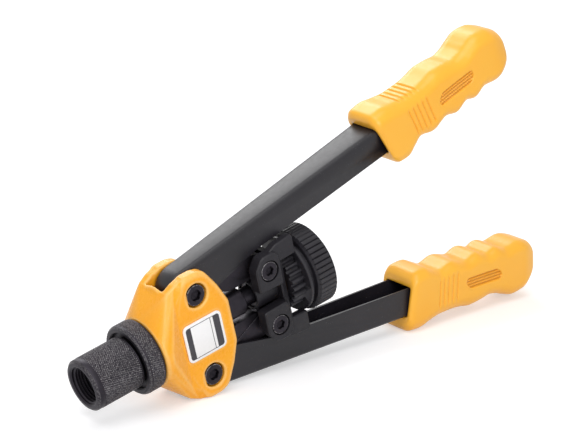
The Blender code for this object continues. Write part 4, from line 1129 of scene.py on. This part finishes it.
class TOOL_OT_screws(bpy.types.Operator):
    """Socket cap screws in the head's and the carriage's recesses"""
    bl_idname = "tool_looks.screws"
    bl_label = "Screws"

    def execute(self, context):
        for kind, body, *sizes in SCREWS:
            for side in SIDES:
                node = f"{side}_{kind}_screw"
                low, high = node_box(node)
                bm = socket_screw(high.y - low.y, *sizes)
                middle = ((low.x + high.x) / 2, low.y, (low.z + high.z) / 2)
                turn = Matrix.Rotation(math.radians(90), 4, "X")
                place = TOOL @ Matrix.Translation(middle) @ turn
                finish_piece(bm, f"{side}_{kind}_cap_screw", body, [node], "screw", place, 30)
        return {"FINISHED"}


class StageSettings(bpy.types.PropertyGroup):
    """Camera, lamps and floor of the studio."""
    lens: bpy.props.FloatProperty(
        name="Lens", description="Focal length on a 36 mm sensor, in mm", default=134.05)
    camera_place: bpy.props.FloatVectorProperty(
        name="Camera Place", description="Where the camera stands", size=3,
        default=(-0.73619, -0.9024, 0.46956), subtype="TRANSLATION")
    camera_aim: bpy.props.FloatVectorProperty(
        name="Camera Aim", description="Direction that the camera looks in", size=3,
        default=(0.59016, 0.74206, -0.31789), subtype="DIRECTION")
    camera_up: bpy.props.FloatVectorProperty(
        name="Camera Up", description="Direction of the picture's upper edge", size=3,
        default=(0.20325, 0.24452, 0.9481), subtype="DIRECTION")
    key_power: bpy.props.FloatProperty(
        name="Key Lamp", description="Power of the large lamp overhead", default=6.0,
        subtype="POWER")
    fill_power: bpy.props.FloatProperty(
        name="Fill Lamp", description="Power of the lamp beside the camera", default=9.0,
        subtype="POWER")
    back_power: bpy.props.FloatProperty(
        name="Back Lamp", description="Power of the lamp behind, for the sheen on top faces",
        default=7.5, subtype="POWER")
    world_level: bpy.props.FloatProperty(
        name="World Level", description="Strength of the even light all round", default=0.37)
    floor: bpy.props.StringProperty(
        name="Floor", description="Colour of the paper floor", default="#e0e0e2")
    floor_glow: bpy.props.FloatProperty(
        name="Floor Glow", description="Light that whitens the floor for the camera",
        default=0.42)


FLOOR_HALF = 5
SENSOR_WIDTH = 36

# Lamps: name, place and size, all aimed at the middle of the tool
LAMPS = (("key", (-0.35, -0.25, 1.1), 0.9), ("fill", (-0.5, -1.3, 0.6), 0.8),
         ("back", (0.25, 0.95, 0.85), 0.8))
LAMP_AIM = Vector((0, 0, 0.05))


def rays_seen(tree, *kinds):
    """1 for rays of some kinds, such as the camera's, and 0 for all others."""
    path = add(tree, "LightPath").outputs
    seen = path[kinds[0]]
    for kind in kinds[1:]:
        seen = add(tree, "Math", {"operation": "MAXIMUM"}, {0: seen, 1: path[kind]}).outputs[0]
    return seen


def white_backdrop_shader(tree, colour, glow):
    """Matte floor that camera, glossy and transmission rays see paler, so that it is white."""
    shader = tree.nodes["Principled BSDF"]
    shader.inputs["Base Color"].default_value = srgb(colour)
    shader.inputs["Roughness"].default_value = 0.9
    seen = rays_seen(tree, "Is Camera Ray", "Is Glossy Ray", "Is Transmission Ray")
    strength = add(tree, "Math", {"operation": "MULTIPLY", 1: glow}, {0: seen}).outputs[0]
    light = add(tree, "Emission", {"Color": (1, 1, 1, 1)}, {"Strength": strength})
    both = add(tree, "AddShader", {}, {0: shader.outputs[0], 1: light.outputs[0]})
    tree.links.new(both.outputs[0], tree.nodes["Material Output"].inputs["Surface"])


def studio_world(scene, level):
    """Even light all round, which the camera and reflections see as plain white."""
    world = bpy.data.worlds.new("studio")
    world.use_nodes = True
    scene.world = world
    tree = world.node_tree
    sky = tree.nodes["Background"]
    sky.inputs["Color"].default_value = (1, 1, 1, 1)
    seen = rays_seen(tree, "Is Camera Ray", "Is Glossy Ray")
    strength = add(tree, "MapRange", {"To Min": level, "To Max": 1.0}, {"Value": seen})
    tree.links.new(strength.outputs["Result"], sky.inputs["Strength"])


def area_lamp(scene, name, place, size, power):
    """Square soft lamp that looks at the tool."""
    lamp = bpy.data.lights.new(name, "AREA")
    lamp.shape = "SQUARE"
    lamp.size = size
    lamp.energy = power
    obj = bpy.data.objects.new(name, lamp)
    scene.collection.objects.link(obj)
    obj.location = place
    obj.rotation_euler = (LAMP_AIM - Vector(place)).to_track_quat("-Z", "Y").to_euler()


def photo_camera(scene, settings):
    """Camera at the photograph's place, with its aim and roll."""
    camera = bpy.data.cameras.new("camera")
    camera.lens = settings.lens
    camera.sensor_width = SENSOR_WIDTH
    camera.clip_start = 0.01
    eye = bpy.data.objects.new("camera", camera)
    scene.collection.objects.link(eye)
    back = -Vector(settings.camera_aim).normalized()
    right = Vector(settings.camera_up).cross(back).normalized()
    turn = Matrix((right, back.cross(right), back)).transposed().to_4x4()
    eye.matrix_world = Matrix.Translation(Vector(settings.camera_place)) @ turn
    scene.camera = eye


class TOOL_OT_stage(bpy.types.Operator):
    """Stage: white floor, even studio light, lamps and the camera"""
    bl_idname = "tool_looks.stage"
    bl_label = "Stage"

    def execute(self, context):
        settings = context.scene.tool_stage
        scene = context.scene
        bm = bmesh.new()
        bmesh.ops.create_grid(bm, x_segments=1, y_segments=1, size=FLOOR_HALF)
        floor = mesh_object(bm, "studio_floor")
        mat, tree, _, _ = new_material("white_paper_sweep", specular=0.0)
        white_backdrop_shader(tree, settings.floor, settings.floor_glow)
        floor.data.materials.append(mat)
        studio_world(scene, settings.world_level)
        for name, place, size in LAMPS:
            area_lamp(scene, name + "_lamp", place, size, getattr(settings, name + "_power"))
        photo_camera(scene, settings)
        scene.view_settings.view_transform = "Standard"
        return {"FINISHED"}


class TOOL_PT_looks(bpy.types.Panel):
    """Lists the pieces and their sizes"""
    bl_label = "Tool Looks"
    bl_idname = "TOOL_PT_looks"
    bl_space_type = "VIEW_3D"
    bl_region_type = "UI"
    bl_category = "Tool Looks"

    def draw(self, context):
        layout = self.layout
        for operator in OPERATORS:
            layout.operator(operator.bl_idname)
        for name in SETTINGS:
            group = getattr(context.scene, name)
            for key in group.__annotations__:
                layout.prop(group, key)


SETTINGS = {"tool_colours": ToolColours, "tool_nose": NoseSizes, "tool_head": HeadSizes,
            "tool_grip": GripSizes, "tool_stage": StageSettings}
OPERATORS = (TOOL_OT_stage, TOOL_OT_nosepiece, TOOL_OT_lock_ring, TOOL_OT_head,
             TOOL_OT_name_plate, TOOL_OT_grips, TOOL_OT_links, TOOL_OT_knob,
             TOOL_OT_metalwork, TOOL_OT_screws)
CLASSES = (*SETTINGS.values(), *OPERATORS, TOOL_PT_looks)


def register():
    for cls in CLASSES:
        bpy.utils.register_class(cls)
    for name, group in SETTINGS.items():
        setattr(bpy.types.Scene, name, bpy.props.PointerProperty(type=group))


def unregister():
    for name in SETTINGS:
        delattr(bpy.types.Scene, name)
    for cls in reversed(CLASSES):
        bpy.utils.unregister_class(cls)


def make_materials(colours):
    """Makes every material once, under the short name that the pieces use."""
    coats = colours.coat, colours.coat_shade
    oxides = colours.oxide, colours.oxide_shade
    MATERIALS.update({
        "casting": painted_casting(colours.casting, colours.casting_shade),
        "grip": moulded_grip_plastic(colours.grip, colours.grip_shade),
        "coat": black_powder_coat("semi_gloss_powder_coat", coats, (0.37, 0.43), 0.9 * MM,
                                  0.42),
        # Same coat with less reflection, for the channels' inner faces: painted shade
        "inside": black_powder_coat("thin_powder_coat_inside", coats, (0.7, 0.85), 0.9 * MM,
                                    0.06),
        "matte": black_powder_coat("matte_coat_on_casting", coats, (0.5, 0.62), 0.5 * MM,
                                   0.36),
        "nylon": glass_filled_nylon(colours.nylon, colours.nylon_shade),
        # The light third colours of the steels are rubbed oxide together with painted highlights on
        # edges, teeth and chamfers
        "oxide": black_oxide_steel("black_oxide_steel", oxides, "#8d8a8c", 0.4, (0.32, 0.5)),
        "knurled": black_oxide_steel("black_oxide_knurled_steel", oxides, "#b9b6b6", 0.6,
                                     (0.36, 0.55)),
        "screw": black_oxide_steel("black_oxide_screw_steel", oxides, "#a8a5a6", 0.8,
                                   (0.28, 0.42)),
        "zinc": plated_steel(colours.zinc, "#a9a8a4"),
        "bronze": oiled_bronze(colours.bronze, "#241c13"),
        "enamel": enamel("white_enamel", (colours.enamel, "#f4f4f4"), (0.31, 0.41)),
        "ink": enamel("black_printing_ink", (colours.ink, "#2f2d33"), (0.41, 0.51))})


def main():
    register()
    make_materials(bpy.context.scene.tool_colours)
    for operator in OPERATORS:
        group, name = operator.bl_idname.split(".")
        getattr(getattr(bpy.ops, group), name)()


if __name__ == "__main__":
    main()
